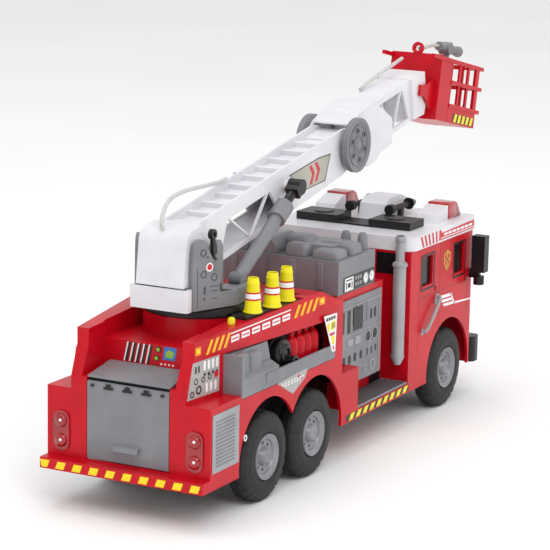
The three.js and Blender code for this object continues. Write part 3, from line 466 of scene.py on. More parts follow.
def rod(name, body, finish, points, radius, count=12):
    """A round bar along a line of points, in metres."""
    work = bmesh.new()
    loops = []
    for k, point in enumerate(points):
        ahead = points[min(k + 1, len(points) - 1)] - points[max(k - 1, 0)]
        ahead.normalize()
        side = ahead.cross(Vector((0, 0, 1)))
        if side.length < 0.1:
            side = ahead.cross(Vector((0, 1, 0)))
        side.normalize()
        up = side.cross(ahead)
        loops.append([work.verts.new(point + (side * c + up * s) * radius * MM) for c, s in around(count)])
    for one, two in zip(loops, loops[1:]):
        bridge(work, one, two)
    work.faces.new(loops[0])
    work.faces.new(loops[-1])
    return piece(name, work, body, finish, 0.2)


def pod(name, body, finish, box, round_mm, lean=0.0):
    """A moulded block with large round edges, narrowed by lean on every side at its top."""
    x0, x1, y0, y1, z0, z1 = box
    work = bmesh.new()
    low, high = [[work.verts.new(Vector((x, y, z)) * MM) for x, y in
                  ((x0 + shrink, y0 + shrink), (x1 - shrink, y0 + shrink), (x1 - shrink, y1 - shrink),
                   (x0 + shrink, y1 - shrink))] for z, shrink in ((z0, 0.0), (z1, lean))]
    work.faces.new(low)
    work.faces.new(high)
    bridge(work, low, high)
    bmesh.ops.bevel(work, geom=list(work.edges), offset=round_mm * MM, segments=5, profile=0.5, affect="EDGES")
    return piece(name, work, body, finish)


# ---------------------------------------------------------------- hoses

HOSE_DIAMETER = 3.4
HOSE_STEPS = 5
# routes on the arm each hose rides on: along it, across the truck, and square to it
BOOM_HOSE = ((-13, 3, 31.8), (-13.4, 3.2, 35), (-10.4, 4.1, 40), (-5, 5, 44.2), (1, 6, 46.9), (9, 7.2, 48.1),
             (20, 8.6, 47.7), (36, 9.8, 45.6), (54, 10.8, 42), (74, 11.6, 37.6), (94, 12.4, 33.6), (106, 12.8, 32.6))
LADDER_HOSE = ((356, 12.4, 35.6), (362, 12.4, 36.6), (372, 11.6, 38.2), (384, 10, 40), (398, 7.6, 42.2),
               (412, 5, 44.4), (426, 2.6, 46.4))
BASKET_HOSE = ((27.2, 0, 41.4), (34, 0.2, 42.6), (44, 0.4, 45), (54, 0.3, 47.4), (62, 0.1, 48.6), (68.6, 0, 48.8))


def hose(name, node, body, at, rise, route):
    """A short tube of cloudy vinyl, held at both ends, that follows a smooth curve through its route."""
    c, s = math.cos(rise), math.sin(rise)
    points = [Vector((at[0] + a * c - n * s, y, at[1] + a * s + n * c)) * MM for a, y, n in route]
    ends = [points[0] * 2 - points[1]] + points + [points[-1] * 2 - points[-2]]
    path = []
    for i in range(1, len(ends) - 2):
        p0, p1, p2, p3 = ends[i - 1:i + 3]
        for k in range(HOSE_STEPS):
            t = k / HOSE_STEPS
            path.append((p1 * 2 + (p2 - p0) * t + (p0 * 2 - p1 * 5 + p2 * 4 - p3) * t * t
                         + (p1 * 3 - p0 - p2 * 3 + p3) * t ** 3) / 2)
    path.append(points[-1])
    made = rod(name, body, "hose", path, HOSE_DIAMETER / 2, 16)
    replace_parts(made, node)


hose("boom_tube", "boom_hose", "boom", BOOM_AT, BOOM_RISE, BOOM_HOSE)
hose("ladder_tube", "ladder_hose", "ladder", BOOM_AT, BOOM_RISE, LADDER_HOSE)
hose("basket_tube", "basket_hose", "basket", BASKET_AT, BASKET_DROP, BASKET_HOSE)

# ---------------------------------------------------------------- wheels

AXLES = (("rear", -205.9), ("middle", -125.6), ("front", 138.8))
WHEEL_RADIUS = 36.6
TYRE_OUTER = 73.2
TYRE_WIDTH = 20.6
# how far the drawn tyre's walls stand inside the solid one's, and how deep its tread notches are
TYRE_INSET = 0.4
NOTCH_DEPTH = 1.3


def tyre(name, body, x, sign):
    """A tyre with a rounded shoulder, rim ring, centre groove and notched tread blocks."""
    half = TYRE_WIDTH / 2
    profile = [(19.1, 1.6), (20.2, 0.7), (22.5, 0.55), (23.4, 0.2), (26.5, 0.25), (27.2, 0.6), (31.5, 1.0),
               (34.2, 2.0), (35.9, 3.6), (36.6, 5.4), (36.6, 8.6), (35.7, 8.9), (35.7, half)]
    profile = profile + [(r, TYRE_WIDTH - w) for r, w in reversed(profile[:-1])]
    work = bmesh.new()
    loops = []
    for radius, width in profile:
        y = sign * (TYRE_OUTER - TYRE_INSET - width * (1 - 2 * TYRE_INSET / TYRE_WIDTH))
        on_tread = radius > 34 and abs(width - half) > 3
        loop = []
        for i, (c, s) in enumerate(around(96, 0.5)):
            r = radius - NOTCH_DEPTH if on_tread and i % 4 == 0 else radius
            loop.append(work.verts.new(Vector((x + r * c, y, WHEEL_RADIUS + r * s)) * MM))
        loops.append(loop)
    for one, two in zip(loops, loops[1:] + loops[:1]):
        bridge(work, one, two)
    return piece(name, work, body, "tyre", smooth_angle=35)


def wheel_details(name, body, x, sign):
    """Hand holes drawn as black discs of painted shade, hub cap and stepped edge on a rim."""
    dish = lambda a, b, h=0.0: Vector((x + a, sign * (TYRE_OUTER - 5 + h), WHEEL_RADIUS + b)) * MM
    hub = lambda a, b, h=0.0: dish(a, b, 3.5 + h)
    plates(f"rim_hole_shade_{name}", body, "black_abs", dish, circles_round(0, 0, 10.9, 1.25, 8, 14),
           depth=0.2)
    turned(f"hub_cap_{name}", body, "silver_lacquer",
           [(0, 0.1), (2.4, 0.1), (2.9, 0.5), (3.4, 1.0), (4.6, 1.1), (5.4, 0.8), (5.9, 0.1), (5.9, -0.3)], hub, 32)
    turned(f"rim_step_{name}", body, "silver_lacquer",
           [(13.4, 0.0), (14.6, 2.4), (15.6, 2.8), (16.6, 3.2), (17.6, 4.6), (18.4, 4.8), (18.7, 4.2), (18.7, 3.4)],
           dish, 56)


for axle_name, axle_x in AXLES:
    for side, sign in SIDES:
        node = f"tyre_{axle_name}_{side}"
        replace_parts(tyre(f"road_{node}", f"{axle_name}_axle", axle_x, sign), node)
        wheel_details(f"{axle_name}_{side}", f"{axle_name}_axle", axle_x, sign)

# ---------------------------------------------------------------- cones

CONE_SPOTS = ((-202.6, -55.5), (-176.2, -58.5), (-150.0, -57.2))
CONE_FOOT = 151.3


def cone(number, x, y):
    """A hollow-topped traffic cone with a white band between two red lines."""
    body = f"cone_{number}"
    at = lambda a, b, h: Vector((x + a, y + b, CONE_FOOT + h)) * MM
    side = lambda h: 6.9 - (h - 1.6) * 2.5 / 26.4
    made = turned(f"cone_body_{number}", body, "yellow_pp",
                  [(0, 0.05), (7.3, 0.05), (7.75, 0.4), (7.75, 1.2), (7.2, 1.6), (side(2), 2.2), (side(22.4), 22.4),
                   (side(23) + 0.35, 23), (side(24.2) + 0.35, 24.2), (side(24.8), 24.8), (side(27.5), 27.5),
                   (side(28) - 0.3, 28), (side(28) - 1.1, 27.8), (side(20) - 1.8, 20), (0, 20)], at, 40)
    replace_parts(made, f"traffic_cone_{number}")
    for label, low, high, finish in (("white", 11.6, 15.6, "film_white"), ("low", 10.4, 11.7, "film_red"),
                                     ("high", 15.5, 16.8, "film_red")):
        turned(f"cone_band_{label}_{number}", body, finish,
               [(side(low) + 0.02, low), (side(low) + 0.18, low), (side(high) + 0.18, high),
                (side(high) + 0.02, high)], at, 40)


for number, (x, y) in enumerate(CONE_SPOTS):
    cone(number + 1, x, y)

# ---------------------------------------------------------------- rear: bumper, hatch, lamps, instrument wall

stripes = [[(73.2, 38.7), (64.4, 38.7), (66.8, 32.8), (72.0, 32.8)]]
for k in range(9):
    y = 57.0 - 15.1 * k
    stripes.append([(y, 38.6), (y - 7.6, 38.6), (y - 5.4, 32.8), (y + 2.2, 32.8)])
plates("bumper_stripes", "truck", "film_yellow", on_rear(BUMPER_X), stripes, depth=0.15, lift=0.0)

hinge_slots = []
for y in (17.0, 0.0, -17.0):
    hinge_slots.append([(y + 4.4, 99.6), (y + 4.4, 101.2), (y + 2.2, 101.8), (y + 2.0, 104.0), (y - 2.0, 104.0),
                        (y - 2.2, 101.8), (y - 4.4, 101.2), (y - 4.4, 99.6)])
for y in (31.5, -31.5):
    hinge_slots.append(rect(y - 1.5, y + 1.5, 100.4, 102.6))
plates("hatch_slots", "hatch", "black_abs", on_rear(HATCH_X), hinge_slots)

for side, sign in SIDES:
    for level, z in (("low", 53.5), ("high", 69.5)):
        lamp = lambda a, b, h, z=z, y=sign * 60.2: Vector((LAMP_X - h, y + a, z + b)) * MM
        turned(f"lamp_{level}_{side}", "truck", "red_lens",
               [(0, 2.6), (2.2, 2.4), (4.2, 1.6), (5.3, 0.6), (5.6, -0.4), (5.6, -1.0)], lamp, 32)
        # a small white dome on each lens, up and to one side: a painted highlight
        turned(f"lamp_glint_{level}_{side}", "truck", "film_white",
               [(0, 3.1), (0.9, 3.0), (1.2, 2.7), (1.2, 2.2)],
               lambda a, b, h, lamp=lamp: lamp(a - 1.4, b + 1.0, h), 16)

slats_dark, slats_light = [], []
for k in range(5):
    y = 20.8 - 4.95 * k
    slats_dark.append([(y + 3.4, 114.7), (y + 1.4, 114.7), (y - 2.0, 130.2), (y, 130.2)])
    slats_light.append([(y + 4.6, 114.7), (y + 3.4, 114.7), (y, 130.2), (y + 1.2, 130.2)])
wall = on_rear(WALL_X)
plates("wall_slats_dark", "truck", "film_black", wall, slats_dark)
plates("wall_slats_light", "truck", "film_white", wall, slats_light)
plates("wall_dots", "truck", "film_orange", wall,
       [oval(24.8 - 4.8 * k, 111.1, 1.2, 1.2, 12) for k in range(5)])
KNOBS = ((-6.2, 127.4), (-4.7, 120.4), (-3.2, 112.9))
plates("wall_knobs", "truck", "film_green", wall, [oval(a, b, 1.6, 1.6, 16) for a, b in KNOBS], 0.9)
rings("wall_knob_rings", "truck", "film_black", wall, [(a, b, 2.4, 1.6) for a, b in KNOBS], 0.5)
plates("wall_screen", "truck", "film_blue", wall,
       [[(-10.1, 119.7), (-21.3, 119.9), (-22.8, 130.2), (-11.7, 130.4)]])
plates("wall_screen_map", "truck", "film_green", wall,
       [[(-12.4, 122.0), (-19.0, 121.6), (-20.6, 126.2), (-16.4, 128.2), (-13.0, 126.0)]], depth=0.35)
plates("wall_keys", "truck", "film_white", wall,
       [rect(-9.6 - 3.5 * k, -8.2 - 3.5 * k, 115.4, 116.8) for k in range(4)]
       + [rect(-9.4 - 3.5 * k, -8.2 - 3.5 * k, 109.4, 112.6) for k in range(4)])

# a black plate behind the gap over the hatch: painted shadow where the hollow body would let light through
plates("hatch_gap_shadow", "truck", "black_abs", on_rear(HATCH_GAP_SHADOW_X), [rect(-36.6, 36.6, 99.0, 106.8)],
       0.6)

# ---------------------------------------------------------------- sides of the rear body

# the shoulder band: how far its bars lean, where its lines start, and how they climb
BAR_LEAN = 6.0
BAND_X = -241.5
BAND_RISE = 4.4 / 82.5

for side, sign in SIDES:
    flank = on_side(sign, FLANK_HALF)
    flare = on_flare(sign)
    # louvred vent with a rounded frame
    plates(f"vent_{side}", "truck", "light_grey", flank, [rect(-296.6, -255.6, 45.0, 91.0)], 0.7,
           edge=0.3)
    plates(f"vent_louvres_{side}", "truck", "grey_abs", flank,
           [rect(-291.5, -262.5, 49.5 + 2.9 * k, 50.6 + 2.9 * k) for k in range(13)], 0.5, lift=0.7, edge=0.15)
    # instrument sticker on the flared wall
    plates(f"gauge_film_{side}", "truck", "film_silver", flare,
           [[(-297.6, 99.6), (-256.4, 99.8), (-256.4, 128.4), (-290.6, 127.6)]])
    pills = [pill(-277.0 + 5.4 * k, -274.2 + 5.4 * k, 119.5, 127.0) for k in range(4)]
    pills += [pill(-274.0 + 5.6 * k, -271.2 + 5.6 * k, 101.8, 109.5) for k in range(3)]
    plates(f"gauge_levers_{side}", "truck", "film_white", flare, pills, 0.3)
    rings(f"gauge_rings_{side}", "truck", "film_black", flare,
          [(-291.5, 103.4, 2.6, 1.5), (-283.0, 105.6, 3.6, 2.0), (-286.5, 112.6, 2.6, 1.6), (-277.4, 112.8, 2.4, 1.4),
           (-269.0, 113.6, 2.4, 1.4)], 0.3)
    plates(f"gauge_keys_{side}", "truck", "film_black", flare,
           [rect(-288.0 + 4 * k, -286.0 + 4 * k, 119.0, 124.5) for k in range(2)]
           + [rect(-277.0 + 5.4 * k, -274.2 + 5.4 * k, 115.4, 117.4) for k in range(4)], 0.3)
    plates(f"gauge_dial_{side}", "truck", "film_red", flare, [oval(-260.5, 114.0, 2.8, 2.8, 18)], 0.35)
    # striped band along the shoulder: four leaning bars at its rear end and four at its front end
    bars, bar_lights = [], []
    for k in range(4):
        x, z = -274.1 + 7.6 * k, 131.3 + 0.3 * k
        bars.append(rect(x, x + 4.0, z, z + 10.8 + 0.1 * k, BAR_LEAN))
        bar_lights.append(rect(x + 0.7, x + 1.9, z + 0.3, z + 10.4 + 0.1 * k, BAR_LEAN))
    for k in range(4):
        x, z = -154.9 + 8.7 * k, 138.4 + 0.45 * k
        bars.append(rect(x, x + 4.5, z, z + 10.2, BAR_LEAN))
        bar_lights.append(rect(x + 0.9, x + 2.1, z + 0.4, z + 9.8, BAR_LEAN))
    plates(f"band_bars_{side}", "truck", "film_orange", flare, bars)
    plates(f"band_bar_lights_{side}", "truck", "film_yellow", flare, bar_lights, 0.35)
    plates(f"band_squares_{side}", "truck", "film_orange", flare,
           [rect(-287.6, -280.6, 132.8, 139.2), rect(-118.0, -110.0, 142.8, 149.0)])
    plates(f"band_square_lights_{side}", "truck", "film_yellow", flare,
           [rect(-286.0, -282.2, 134.4, 137.6), rect(-116.2, -111.8, 144.4, 147.4)], 0.35)
    climb = lambda a0, a1, low, high: [(a, b + (a - BAND_X) * BAND_RISE)
                                       for a, b in ((a0, low), (a1, low), (a1, high), (a0, high))]
    plates(f"band_lines_{side}", "truck", "film_white", flare,
           [climb(BAND_X, -159.5, 141.6, 142.6)]
           + [climb(-241.0 + 14 * k, -230.5 + 14 * k, 134.8, 139.6) for k in range(6)])
    plates(f"band_line_gaps_{side}", "truck", "red_abs", flare,
           [climb(-240.0 + 14 * k, -231.5 + 14 * k, 136.6, 137.6) for k in range(6)], 0.32)
    # small round marker, tread-plate triangle and locker label
    rings(f"marker_{side}", "truck", "film_white", flank, [(-244.6, 61.6, 2.6, 1.4)])
    plates(f"tread_triangle_{side}", "truck", "film_silver", flank,
           [[(-193.0, 93.4), (-166.6, 79.6), (-146.0, 88.4), (-141.0, 95.6), (-150.0, 95.9)]])
    plates(f"tread_marks_{side}", "truck", "film_white", flank,
           [rect(-186.0 + 5 * k, -183.6 + 5 * k, 90.4, 91.6, 1.4) for k in range(8)]
           + [rect(-181.0 + 5 * k, -178.6 + 5 * k, 88.4, 89.6, 1.4) for k in range(6)], 0.35)
    plates(f"tread_dots_{side}", "truck", "film_red", flank,
           [oval(-157.0, 92.4, 1.6, 1.6, 12), oval(-152.0, 88.9, 1.2, 1.2, 12)], 0.4)
    plates(f"locker_label_{side}", "truck", "film_white", flank,
           [[(-114.2, 133.0), (-98.4, 100.4), (-92.4, 99.6), (-90.4, 131.8)]])
    plates(f"locker_label_yellow_{side}", "truck", "film_yellow", flank,
           [[(-109.6, 125.4), (-106.4, 118.4), (-103.6, 118.6), (-104.4, 125.8)],
            [(-101.6, 125.9), (-101.4, 118.8), (-94.0, 119.2), (-93.4, 126.4)],
            [(-101.0, 113.6), (-98.0, 106.6), (-94.6, 106.4), (-94.2, 113.6)]], 0.35)
    plates(f"locker_label_red_{side}", "truck", "film_red", flank,
           [[(-103.6, 116.6), (-102.4, 114.2), (-94.4, 114.4), (-94.2, 116.8)],
            rect(-97.2, -95.0, 101.6, 105.0)], 0.35)
    plates(f"locker_label_black_{side}", "truck", "film_black", flank,
           [rect(-110.0 + 4.4 * k, -106.8 + 4.4 * k, 127.8, 130.4) for k in range(4)]
           + [rect(-99.6 + 2.4 * k, -98.6 + 2.4 * k, 119.8, 125.0) for k in range(3)], 0.42)
    # skirt stripes
    plates(f"skirt_band_{side}", "truck", "film_black", flank, [rect(-68.4, 55.4, 33.0, 38.8)], 0.1)
    plates(f"skirt_stripes_{side}", "truck", "film_yellow", flank,
           [rect(-63.6 + 13.2 * k, -56.4 + 13.2 * k, 33.2, 38.6, 4.6) for k in range(9)], 0.14, lift=0.12)

# ---------------------------------------------------------------- lockers: pump and bottles

PUMP_X = -166.7


def locker_kit(side, sign):
    """A black hose pump with its wheel and outlet, and a row of red bottles."""
    at = lambda a, b, h: Vector((PUMP_X + a, sign * (52 + h), SHOULDER_Z + 15 + b)) * MM
    pump = turned(f"hose_pump_{side}", "truck", "black_abs",
                  [(0, 0), (11, 0), (12.6, 1.6), (12.6, 5), (11.0, 6), (11.0, 8), (12.6, 9), (12.6, 12), (11.4, 13.4),
                   (8.0, 13.8), (7.2, 15.6), (5.4, 16.0), (5.0, 14.6), (0, 14.6)], at, 40)
    outlet = lambda a, b, h: Vector((PUMP_X + 6 + a, sign * (66 + h), SHOULDER_Z + 8 + b)) * MM
    turned(f"pump_outlet_{side}", "truck", "black_abs",
           [(0, 0), (4.6, 0), (4.6, 5.4), (5.4, 5.8), (5.4, 6.8), (3.6, 6.9), (3.2, 4.8), (0, 4.8)], outlet, 28)
    plates(f"pump_base_{side}", "truck", "black_abs", on_top(SHOULDER_Z + 1.2),
           [[(-182.0, sign * 53), (-98.4, sign * 53), (-98.4, sign * 67), (-182.0, sign * 67)]], 2.3, edge=0.4)
    plates(f"pump_ribs_{side}", "truck", "dark_grey", lambda a, b, h=0: at(a, b, 13.6 + h),
           [rect(-9.5 + 3.2 * k, -8.3 + 3.2 * k, 2.0, 9.5) for k in range(3)], 0.9, edge=0.2)
    for k in range(4):
        x = PUMP_X + 19 + 12.2 * k
        stand = lambda a, b, h, x=x: Vector((x + a, sign * 61 + b, SHOULDER_Z + 3.4 + h)) * MM
        turned(f"bottle_{k + 1}_{side}", "truck", "red_abs",
               [(0, 0), (5.2, 0), (5.9, 0.8), (5.9, 16.4), (5.2, 19.0), (3.4, 21.2), (2.0, 22.0), (2.0, 23.4),
                (2.9, 23.8), (2.9, 25.4), (0, 25.8)], stand, 28)
    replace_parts(pump, f"bay_kit_{side}")


for side, sign in SIDES:
    locker_kit(side, sign)

# ---------------------------------------------------------------- pump panels, gauge strips, steps

for side, sign in SIDES:
    panel = on_side(sign, PANEL_HALF)
    dark = [rect(-52.4, -49.6, 103.6, 122.4), rect(-43.4, -38.0, 102.6, 122.4)]
    dark += [pill(1.0, 3.8, 107.6, 116.4), pill(8.4, 11.4, 107.8, 116.8)]
    dark += [oval(-3.8, 93.2, 4.0, 6.0), oval(9.6, 93.6, 4.0, 5.8)]
    dark += [pill(-50.8, -46.8, 76.4, 83.0), pill(-40.4, -35.8, 75.0, 83.0), pill(-30.2, -25.4, 75.6, 83.4),
             pill(-18.4, -14.2, 75.8, 83.2)]
    dark += [pill(-4.8, -2.8, 76.2, 82.8), pill(3.2, 5.2, 76.2, 82.8), pill(11.2, 13.2, 77.0, 83.2)]
    plates(f"panel_slots_{side}", "truck", "black_abs", panel, dark)
    plates(f"panel_window_{side}", "truck", "tinted", panel, [rect(-32.2, -14.4, 103.0, 122.8)], 0.4,
           edge=0.15)
    plates(f"panel_window_bars_{side}", "truck", "dark_grey", panel,
           [rect(-24.0, -22.6, 103.4, 122.4), rect(-31.8, -14.8, 109.4, 110.4)], 0.6, edge=0.15)
    plates(f"panel_trim_{side}", "truck", "light_grey", panel,
           [rect(-53.0, 20.6, 124.6, 125.6), rect(-53.0, 20.6, 100.2, 100.9), rect(-28.6, -18.6, 90.4, 97.6),
            rect(-42.6, -32.6, 91.0, 96.6), rect(16.8, 17.6, 58.0, 123.4)], 0.5, edge=0.15)
    rings(f"panel_dials_{side}", "truck", "light_grey", panel,
          [(5.8, 66.6, 5.2, 3.6), (-9.0, 66.0, 3.2, 2.0), (-3.8, 93.2, 5.6, 4.6), (9.6, 93.6, 5.6, 4.6)], 0.6)
    strip = on_side(sign, STRIP_HALF)
    plates(f"strip_{side}", "truck", "dark_grey", strip, [rect(-49.4, 9.8, 138.8, 151.8)], 0.3)
    plates(f"strip_label_{side}", "truck", "film_white", strip, [rect(-47.0, -31.0, 139.4, 150.6)],
           0.45)
    plates(f"strip_print_{side}", "truck", "film_black", strip,
           [rect(-45.0, -33.0, 148.0, 149.2), rect(-45.0, -43.4, 141.0, 147.0), rect(-34.6, -33.0, 141.0, 147.0),
            rect(-41.6, -36.4, 142.0, 146.0)], 0.52)
    plates(f"strip_keys_{side}", "truck", "light_grey", strip,
           [rect(-27.4 + 4.6 * k, -24.6 + 4.6 * k, z, z + 3.0) for k in range(3) for z in (141.4, 146.6)], 0.5)
    plates(f"strip_gauges_{side}", "truck", "film_white", strip,
           [oval(-7.6, 145.2, 4.3, 4.3, 28), oval(4.0, 145.2, 4.3, 4.3, 28)], 0.5)
    rings(f"strip_gauge_rims_{side}", "truck", "light_grey", strip,
          [(-7.6, 145.2, 5.0, 4.2), (4.0, 145.2, 5.0, 4.2)], 0.8)
    plates(f"strip_needles_{side}", "truck", "film_black", strip,
           [[(-8.0, 144.6), (-7.2, 144.6), (-5.6, 148.0)], [(3.6, 144.6), (4.4, 144.6), (2.2, 148.2)]], 0.62)
    lozenges = []
    for row in range(8):
        y = sign * (49.9 + 3.05 * row)
        for k in range(30):
            x = -44.0 + 3.15 * k + (row % 2) * 1.5
            lozenges.append([(x, y), (x + 1.1, y + 0.95), (x + 2.3, y), (x + 1.1, y - 0.95)])
    plates(f"step_grip_{side}", "truck", "black_abs", on_top(STEP_TOP), lozenges, 0.3)

# ---------------------------------------------------------------- pump house top

# boxes in mm, and how far their edges are rounded
PODS = ((-56, -34, -56, -30, 165, 175, 3.4), (-30, -8, -57, -22, 165, 177, 4.0), (-56, -40, -26, -4, 165, 178, 4.0),
        (-36, -10, -18, 8, 165, 180, 5.0), (-56, -38, 30, 56, 165, 176, 3.6), (-34, -14, 34, 56, 165, 178, 4.0))
for k, (*box, round_mm) in enumerate(PODS):
    pod(f"pump_cover_{k + 1}", "truck", "grey_abs", box, round_mm, 1.2)
for k, y in enumerate((-44, -18, 10, 38)):
    pod(f"pump_house_rib_{k + 1}", "truck", "grey_abs", (-60.0, -57.8, y, y + 6, 141, 165), 0.9)
for side, sign in SIDES:
    lanes = [sorted((sign * y0, sign * y1)) for y0, y1 in ((60.4, 69.0), (51.6, 59.8))]
    for k, (x0, x1, z1) in enumerate(((-246.6, -228.0, 126.4), (-227.4, -208.0, 124.0), (-207.4, -188.0, 112.6))):
        for j, (y0, y1) in enumerate(lanes):
            pod(f"hose_cushion_{side}_{k + 1}_{j + 1}", "truck", "grey_abs",
                (x0, x1, y0, y1, 101.0, z1), 3.0, 0.8)

# ---------------------------------------------------------------- cab sides

for side, sign in SIDES:
    door = on_side(sign, FLANK_HALF)
    shield = [(122.9, 144.6), (126.0, 146.2), (130.6, 148.4), (135.2, 146.2), (138.4, 144.4), (137.8, 136.6),
              (135.0, 132.2), (130.7, 128.8), (126.2, 132.4), (123.4, 136.8)]
    plates(f"shield_{side}", "truck", "film_gold", door, [shield])
    inner = [(130.6 + (a - 130.6) * 0.72, 138.8 + (b - 138.8) * 0.72) for a, b in shield]
    plates(f"shield_field_{side}", "truck", "film_red", door, [inner], 0.35)
    plates(f"shield_bars_{side}", "truck", "film_gold", door,
           [rect(129.4, 131.8, 132.6, 145.0), rect(126.0, 135.2, 138.2, 140.4)], 0.45)
    plates(f"door_flash_{side}", "truck", "film_white", door,
           [[(118.4, 107.6), (141.4, 106.4), (143.0, 103.6), (120.0, 104.6)],
            [(121.0, 103.2), (143.8, 102.0), (145.2, 99.4), (122.6, 100.4)],
            [(124.0, 99.0), (146.0, 97.8), (147.4, 95.2), (126.6, 96.4)],
            [(139.6, 106.5), (142.6, 106.3), (151.4, 94.4), (148.4, 94.8)],
            [(147.6, 95.0), (188.0, 92.2), (188.0, 93.6), (148.6, 96.8)]])
    frames = []
    for x0, x1, z0, z1 in ((76.5, 102.5, 120.0, 150.5), (146.0, 171.0, 120.0, 150.5)):
        frames += [rect(x0 - 1.2, x0 + 0.8, z0 - 1.2, z1 + 1.2), rect(x1 - 0.8, x1 + 1.2, z0 - 1.2, z1 + 1.2),
                   rect(x0 + 0.9, x1 - 0.9, z0 - 1.2, z0 + 0.6), rect(x0 + 0.9, x1 - 0.9, z1 - 0.6, z1 + 1.2)]
    plates(f"window_frames_{side}", "truck", "black_abs", door, frames, 0.3, edge=0.1)
    grab = [door(81.0, 81.6, 0.4), door(81.2, 81.8, 3.4), door(86.0, 86.2, 4.4), door(96.0, 95.2, 4.6),
            door(106.0, 104.2, 4.4), door(110.4, 108.2, 3.4), door(110.6, 108.4, 0.4)]
    rod(f"grab_rail_{side}", "truck", "light_grey", grab, 1.7)
    plates(f"grab_feet_{side}", "truck", "light_grey", door,
           [[(76.6, 79.6), (81.6, 78.6), (84.6, 83.0), (79.8, 85.0)],
            [(104.6, 102.6), (110.6, 102.0), (114.4, 110.6), (107.6, 111.6)]], 1.0, edge=0.3)
    # seams and handle pockets are drawn in the shaded red: painted shade in the gaps
    seams = [rect(115.6, 116.1, 62.0, 157.0), rect(71.6, 72.1, 62.0, 157.0), rect(178.0, 178.5, 84.0, 157.0),
             rect(72.0, 116.0, 112.6, 113.1), rect(116.0, 178.0, 112.6, 113.1)]
    plates(f"door_seams_{side}", "truck", "painted_shade_red", door, seams, 0.06, lift=0.01)
    plates(f"door_handles_{side}", "truck", "painted_shade_red", door,
           [pill(106.0, 108.0, 114.0, 119.4), pill(172.0, 174.0, 112.0, 117.0)], 0.6, edge=0.15)
    brow = on_side(sign, BROW_HALF)
    plates(f"roof_bars_{side}", "truck", "film_red", brow,
           [rect(74.6 + 7.0 * k, 77.6 + 7.0 * k, 159.4, 169.6, -5.4 + 1.0 * k) for k in range(5)], 0.2)
    plates(f"roof_band_{side}", "truck", "film_red", brow,
           [[(109.0, 160.0), (186.4, 160.0), (186.4, 167.6), (172.0, 167.6), (115.0, 166.2), (112.0, 169.4),
             (109.0, 169.4)]], 0.2)
    plates(f"roof_band_lines_{side}", "truck", "film_white", brow,
           [rect(112.0, 186.4, 161.2, 162.0)] + [rect(119.0 + 9.2 * k, 126.4 + 9.2 * k, 163.2, 165.4, 0.6)
                                                for k in range(7)], 0.28)

plates("cab_rear_windows", "truck", "tinted", on_rear(CAB_REAR_X),
       [rect(y - 9.8, y + 9.8, 137.0, 156.0) for y in (-49.6, 49.6)], 0.25)
for side, sign in SIDES:
    y0, y1 = sorted((sign * 41.0, sign * 63.0))
    pod(f"beacon_lens_{side}", "truck", "red_lens", (155, 172.4, y0, y1, 171.0, 186.0), 1.4, 0.2)

# front of the cab: grille, headlamps and markers
plates("grille", "truck", "black_abs", on_front, [rect(-34, 34, 60.0, 90.0)], 0.8, edge=0.3)
plates("grille_bars", "truck", "light_grey", on_front,
       [rect(-32, 32, z, z + 2.0) for z in (63.0, 68.4, 73.8, 79.2, 84.6)], 1.4, edge=0.3)
for side, sign in SIDES:
    for k, z in enumerate((66.0, 81.0)):
        lamp = lambda a, b, h, z=z, sign=sign: on_front(sign * 50 + a, z + b, h)
        turned(f"headlamp_{k + 1}_{side}", "truck", "silver_lacquer",
               [(0, 0.8), (5.2, 0.8), (5.6, 1.8), (6.4, 2.0), (6.8, 0.6), (6.8, 0.0)], lamp, 32)
        turned(f"headlamp_lens_{k + 1}_{side}", "truck", "film_white",
               [(0, 1.9), (2.6, 1.7), (4.4, 1.2), (5.0, 0.8)], lamp, 32)
    plates(f"front_marker_{side}", "truck", "film_orange", on_front,
           [rect(sign * 50 - 6, sign * 50 + 6, 92.0, 95.4)], 0.8, edge=0.3)

# ---------------------------------------------------------------- turntable, boom and knee

